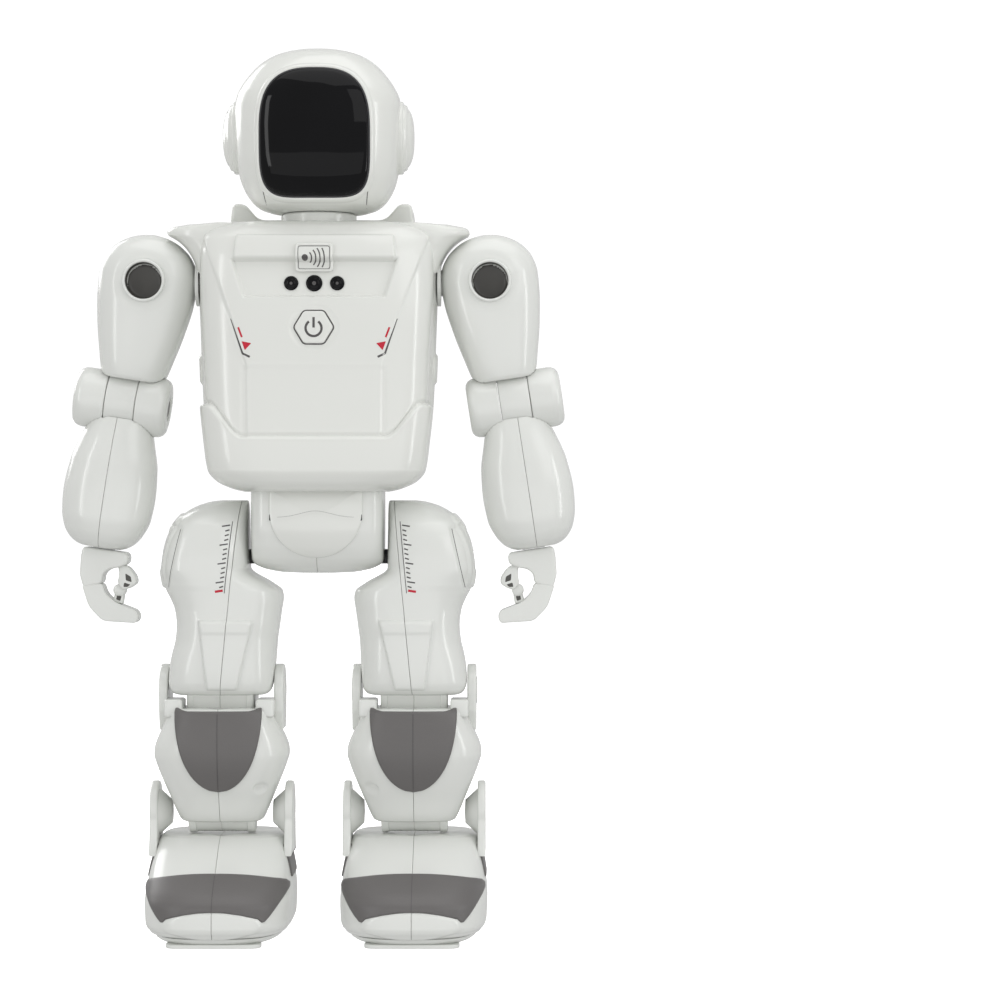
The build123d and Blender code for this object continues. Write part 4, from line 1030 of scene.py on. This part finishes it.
ticks = [tick(height, length, 0.55)
         for height, length in zip(np.arange(168.0, 143.0, -1.9), [3.2, 1.6, 1.6, 1.6] * 4)]
red_tick = tick(141.6, 3.2, 0.95)
# The dark line along the crease at the front of the hip is painted shade for the step there.
hip_crease_shade = stroke(straight((55.0, 166.6), (60.4, 142.6)), 0.24, THIGH, height=0.02)
rail_ends = [(thigh_seam(height) + 1.9, height) for height in (169.5, 140.5)]
rail = stroke(straight(*rail_ends), 0.3, THIGH)
pair("{}_thigh_outer", thigh_outer, LIMB_WHITE, "{}_thigh", ["{}_thigh_outer_shell"])
pair("{}_thigh_inner", joined(thigh_inner, knee_drum), LIMB_WHITE, "{}_thigh",
     ["{}_thigh_inner_shell"])
pair("{}_thigh_scale", joined(rail, *ticks), INK_AND_SHADE_GREY, "{}_thigh", slot="grey_trim")
pair("{}_hip_crease_shade_line", hip_crease_shade, INK_AND_SHADE_GREY, "{}_thigh", slot="inner_dark")
pair("{}_thigh_scale_end", red_tick, INK_RED, "{}_thigh", slot="grey_trim")

# ---- Shins ------------------------------------------------------------------------------------
# Two shells that meet on the leg's centre plane, with an ear each side that holds the knee, and a
# dark grey knee pad snapped over the front.
SHIN_KEYS = sections(LEG_X, (
    (46.6, 15.6, -11.0, 11.0), (47.3, 16.8, -12.8, 12.2), (50.0, 18.2, -15.4, 14.0),
    (56.0, 20.7, -18.6, 16.0), (62.0, 23.2, -21.6, 18.0), (70.0, 26.3, -24.4, 19.6),
    (74.5, 27.5, -25.2, 20.0), (77.0, 27.3, -25.4, 19.6), (80.0, 26.4, -25.5, 18.4),
    (86.0, 23.6, -25.4, 14.6), (90.0, 21.8, -25.0, 11.0), (92.4, 20.9, -24.4, 8.5),
    (93.4, 19.6, -23.0, 6.5)), square=(3.1,))


def shin_relief(points, normals):
    """Oval dimple low on the inner side."""
    x, y, z = points[..., 0], points[..., 1], points[..., 2]
    dimple = np.hypot((x - 22.6 - (z - 61.2) * 0.15) / 2.7, (z - 61.2 + (x - 22.6) * 0.25) / 1.9)
    return -0.9 * smooth(1.0 - dimple, 0.5) * (y < -5)


def ear_outline(height, radius, lean, foot):
    """Side view of a joint's ear: a round top over the corners of its foot, closed with a lap."""
    top = arc((0, height), radius, -lean, 180 + lean, 61)
    lap = arc((0, height), radius, -lean, 1 - lean, 2)
    return evenly(np.vstack((top, foot, lap)), 121)[:-1]


def ear(outline, keep, inner, outer, bevel):
    """Ear on one side of the leg, between two distances out from its middle."""
    return slab(outline, *sorted((LEG_X + keep * inner, LEG_X + keep * outer)), bevel, "x")


def boss(keep, profile, height, around):
    """Turned piece on one side of the leg, its profile given as (distance out, radius) points."""
    profile = [(LEG_X + keep * out, radius) for out, radius in profile]
    return turned(profile, (0, 0, height), "x", around)


def knee_half(keep):
    """One shin shell with its ear, the cap over the knee's pin, and the step beside the pad."""
    shell = moulding(SHIN_KEYS, 0.75, seam=(0, LEG_X), keep=keep, relief=shin_relief)
    cap = [(25.0, 0.0), (25.0, 5.6), (25.55, 5.5), (25.8, 5.0), (25.8, 0.0)]
    step_x = LEG_X + keep * 18.6
    step = box_outline(step_x - 3.7, step_x + 3.7, -19.5, -3.0, 1.5)
    return joined(shell, ear(KNEE_EAR, keep, 21.7, 25.4, 0.8), boss(keep, cap, KNEE_Z + 1, 48),
                  slab(step, 90.0, 97.2, 1.0, "z"))


KNEE_EAR = ear_outline(KNEE_Z + 1, 10.8, 12,
                       [(-10.3, 92.0), (-7.5, 84.0), (7.5, 84.0), (10.3, 92.0)])
SHIN = surface(moulding(SHIN_KEYS, 0.9))
ANKLE_DRUM = symmetric(LEG_X, [(13.6, 0.0), (13.6, 8.2), (13.3, 8.6), (10.6, 8.6), (10.4, 8.2),
                               (0.15, 8.2), (0.1, 7.9)])
ankle_drum = turned(ANKLE_DRUM, (0, 0, ANKLE_Z), "x")
u = np.linspace(0, 1, 60)[1:]
pad_half = 17.4 * np.sqrt(np.maximum(1 - (1 - u) ** 2.2, 0))
pad_right = np.vstack((np.stack((pad_half, 60.0 + 33.0 * u), 1),
                       [(17.2, 93.6), (16.4, 93.7), (14.6, 92.9), (12.5, 92.5)]))
pad_outline = np.vstack(([(0.0, 60.0)], pad_right, pad_right[::-1] * (-1, 1))) + (LEG_X, 0)
PAD_EDGE = ((0.0, -0.35), (0.0, 0.45), (0.18, 0.8), (0.5, 0.98), (1.0, 1.02))
pad = laid(looping(pad_outline, 220), PAD_EDGE, SHIN, rings=16, crown=0.15)
PAD_GREY = satin_dark("warm_grey_plastic", (0.145, 0.138, 0.135), 0.42)
pad_seam = stroke(straight((LEG_X, 91.8), (LEG_X, 60.8)), 0.26, surface(pad), height=0.1)
pair("{}_shin_outer", joined(knee_half(1), ankle_drum), LIMB_WHITE, "{}_shin",
     ["{}_shin_outer_shell"])
pair("{}_shin_inner", knee_half(-1), LIMB_WHITE, "{}_shin", ["{}_shin_inner_shell"])
pair("{}_knee_cover", pad, PAD_GREY, "{}_shin", ["{}_knee_pad"], slot="grey_trim")
pair("{}_knee_cover_seam", pad_seam, INK_AND_SHADE_GREY, "{}_shin", slot="inner_dark")

# ---- Feet -------------------------------------------------------------------------------------
# Long shells joined on the centre plane, with an ear each side of the ankle. A grey band wraps the
# instep, a raised cap covers the toe, and rubber-tyred driving wheels turn in the sole.
FOOT_KEYS = sections(LEG_X, (
    (4.1, 25.8, -45.4, 37.6, 3.3), (4.5, 27.3, -47.2, 39.2, 3.3), (5.5, 28.6, -48.6, 40.6, 3.4),
    (8.5, 29.7, -49.8, 42.0, 3.4), (16.0, 30.0, -49.4, 42.2, 3.4),
    (20.0, 29.8, -46.5, 42.0, 3.4), (24.0, 29.2, -41.2, 41.0, 3.6),
    (31.0, 28.0, -30.3, 38.0, 3.8), (37.0, 26.6, -20.8, 33.0, 3.8),
    (40.2, 25.2, -14.8, 28.5, 3.6), (41.1, 23.4, -12.8, 26.0, 3.2)))


def foot_relief(points, normals):
    """Raised toe cap below the band, and a shallow groove above the sole."""
    x, y, z = points[..., 0] - LEG_X, points[..., 1], points[..., 2]
    cap = 0.75 * smooth(1.0 - np.hypot(x / 19.9, (z - 9.4) / 5.2), 0.22) * (y < -20)
    groove = -0.35 * smooth(0.45 - np.abs(z - 5.6), 0.5)
    return cap + groove


def foot_half(keep):
    """One foot shell with its ankle ear and the cone on the inside of it."""
    shell = moulding(FOOT_KEYS, 0.8, seam=(0, LEG_X), keep=keep, relief=foot_relief, fine=0.6)
    cone = [(26.2, 0.0), (26.2, 9.4), (25.6, 9.2), (20.8, 4.8), (20.5, 0.0)]
    return joined(shell, ear(ANKLE_EAR, keep, 25.9, 29.2, 0.9), boss(keep, cone, ANKLE_Z, 64))


ANKLE_EAR = ear_outline(ANKLE_Z + 1.5, 11.2, 20,
                        [(-11.5, 40.0), (-14.0, 33.0), (14.0, 33.0), (11.5, 40.0)])
FOOT = surface(moulding(FOOT_KEYS, 0.9, relief=foot_relief))
SOLE_KEYS = sections(LEG_X, (
    (0.9, 21.4, -41.0, 33.0), (1.2, 23.0, -42.8, 35.0), (2.0, 24.8, -44.6, 37.2),
    (3.0, 25.9, -45.6, 38.4), (3.75, 26.0, -45.8, 38.6), (3.8, 24.8, -44.6, 37.4),
    (4.3, 24.8, -44.6, 37.4)), square=(3.1,))
glide_pad = rounded([(LEG_X - 19, -45), (LEG_X + 19, -45), (LEG_X + 19, -34), (LEG_X - 19, -34)], 5)
sole = joined(moulding(SOLE_KEYS, 0.9), slab(glide_pad, 0.0, 1.6, 0.25, "z"))
wheel_bays = joined(*[slab(box_outline(LEG_X + x - 4.2, LEG_X + x + 4.2, 10.2, 29.8, 0.8),
                           -1.0, 5.0, 0.05, "z") for x in (-18, 18)])
u = np.linspace(-1, 1, 41)
band_top = np.stack((-25.4 * u, 28.4 - 2.3 * np.abs(u) ** 2.6), 1)
band_bottom = np.stack((18.2 * u, 15.0 - 2.9 * u**2), 1)
band_end = np.array([(27.6, 25.2), (28.8, 23.6), (29.0, 22.0), (27.8, 20.0), (22.6, 13.0),
                     (20.6, 10.8), (19.6, 10.7)])
band_outline = np.vstack((band_top, band_end * (-1, 1), band_bottom, band_end[::-1])) + (LEG_X, 0)
BAND_EDGE = ((0.0, -0.3), (0.0, 0.25), (0.15, 0.5), (0.45, 0.62), (0.9, 0.65))
toe_band = laid(looping(band_outline, 240), BAND_EDGE, FOOT, rings=12, crown=0.1)
band_seam = stroke(straight((LEG_X, 28.0), (LEG_X, 15.4)), 0.24, surface(toe_band), height=0.08)
side_outline = rounded([(-13.5, 24.5), (13.5, 24.5), (10.5, 37.6), (-10.5, 37.6)], 2.5)
side_pad = laid(side_outline, ((0.0, -0.3), (0.0, 0.3), (0.2, 0.55), (0.6, 0.65)), FOOT, "side")
inner_points, inner_faces = mirrored(side_pad)
side_pads = joined(side_pad, (inner_points + (2 * LEG_X, 0, 0), inner_faces))
pair("{}_foot_outer", foot_half(1), LIMB_WHITE, "{}_foot", ["{}_foot_outer_shell"])
pair("{}_foot_inner", foot_half(-1), LIMB_WHITE, "{}_foot", ["{}_foot_inner_shell"])
pair("{}_sole_plate", sole, LIMB_WHITE, "{}_foot", ["{}_foot_sole"], openings=wheel_bays)
pair("{}_instep_band", toe_band, PAD_GREY, "{}_foot", ["{}_toe_band"], slot="grey_trim")
pair("{}_instep_seam", band_seam, INK_AND_SHADE_GREY, "{}_foot", slot="inner_dark")
pair("{}_ankle_pads", side_pads, PAD_GREY, "{}_foot", slot="grey_trim")


def tyre_rubber():
    """Black rubber tyre: matt, fine-grained and dusted paler in places."""
    finish = Finish("tyre_rubber")
    dust = finish.noise(120.0, 3.0)
    grain = finish.noise(1600.0, 2.0)
    return finish.plastic(Base_Color=finish.tint(dust, (0.016, 0.016, 0.016), (0.03, 0.03, 0.031)),
                          Roughness=0.68 + grain * 0.14, Normal=finish.bump(grain, 0.0001, 0.6))


coated(tyre_rubber(), "left_drive_wheels", "right_drive_wheels")

# ---- Camera and light -------------------------------------------------------------------------
# A long lens level with the hips, a pale sweep under and behind the robot, and large soft boxes
# above it and to both sides of the camera.


def aimed(thing, place, target):
    """Adds an object that stands at one place and faces another."""
    thing.location = place
    thing.rotation_euler = (Vector(target) - Vector(place)).to_track_quat("-Z", "Y").to_euler()
    bpy.context.scene.collection.objects.link(thing)


CAMERA_X, CAMERA_Z, CAMERA_AWAY = 0.0748, 0.178, 1.2
camera = bpy.data.objects.new("camera", bpy.data.cameras.new("camera"))
camera.data.lens, camera.data.sensor_width = 104.7, 36.0
aimed(camera, (CAMERA_X, -CAMERA_AWAY, CAMERA_Z), (CAMERA_X, 0.0, CAMERA_Z))
bpy.context.scene.camera = camera
bpy.context.scene.view_settings.view_transform = "Standard"

LAMP_TARGET = (0.0, 0.0, 0.18)
for light_name, place, width, height, power in (
        ("key_box", (0.95, -1.1, 0.95), 0.9, 0.9, 3.0),
        ("window_strip", (-1.0, -1.0, 0.45), 0.16, 1.2, 2.8),
        ("door_strip", (1.25, -0.55, 0.3), 0.16, 1.0, 2.6),
        ("top_box", (0.15, -0.15, 1.5), 1.3, 1.3, 6.0),
        ("low_box", (0.0, -0.8, 0.02), 1.6, 0.5, 1.6),
        ("rear_box", (-0.9, 0.9, 0.8), 0.8, 0.8, 6.0)):
    lamp = bpy.data.lights.new(light_name, "AREA")
    lamp.shape, lamp.size, lamp.size_y, lamp.energy = "RECTANGLE", width, height, power
    light = bpy.data.objects.new(light_name, lamp)
    light.visible_camera = False
    aimed(light, place, LAMP_TARGET)

WORLD_STRENGTH = 0.58
world = bpy.data.worlds.new("studio")
world.use_nodes = True
world.node_tree.nodes["Background"].inputs[0].default_value = (1.0, 1.0, 1.0, 1)
world.node_tree.nodes["Background"].inputs[1].default_value = WORLD_STRENGTH
bpy.context.scene.world = world


def backdrop(name, profile, finish):
    """A round stage piece, seen by the camera and in shadows, that throws no light of its own."""
    points, faces = turned(profile, (0, 0, 0), "z", 64)
    data = bpy.data.meshes.new(name)
    data.from_pydata(points.tolist(), [], [[int(i) for i in face] for face in faces[:-2]])
    data.shade_smooth()
    data.materials.append(finish)
    thing = bpy.data.objects.new(name, data)
    thing.visible_diffuse = thing.visible_glossy = False
    bpy.context.scene.collection.objects.link(thing)
    return thing


pale = Finish("pale_floor")
pale_shade = pale.noise(3.0, 1.0)
backdrop("pale_floor", [(0.0, 0.0), (0.0, 2.0), (0.0, 9.0)], pale.plastic(
    Base_Color=pale.tint(pale_shade, (0.90, 0.90, 0.90), (0.93, 0.93, 0.93)),
    Roughness=0.9, Emission_Color=(1.0, 1.0, 1.0, 1), Emission_Strength=0.75))
glow = Finish("white_surround")
DOME = [(-3.0, 8.9), (0.0, 9.0), (3.0, 8.4), (6.0, 6.7), (8.4, 3.2), (9.0, 0.0)]
surround = backdrop("white_surround", DOME, glow.plastic(
    Base_Color=(0.0, 0.0, 0.0, 1), Roughness=1.0, Emission_Color=(1.0, 1.0, 1.0, 1),
    Emission_Strength=1.05))
surround.visible_shadow = False
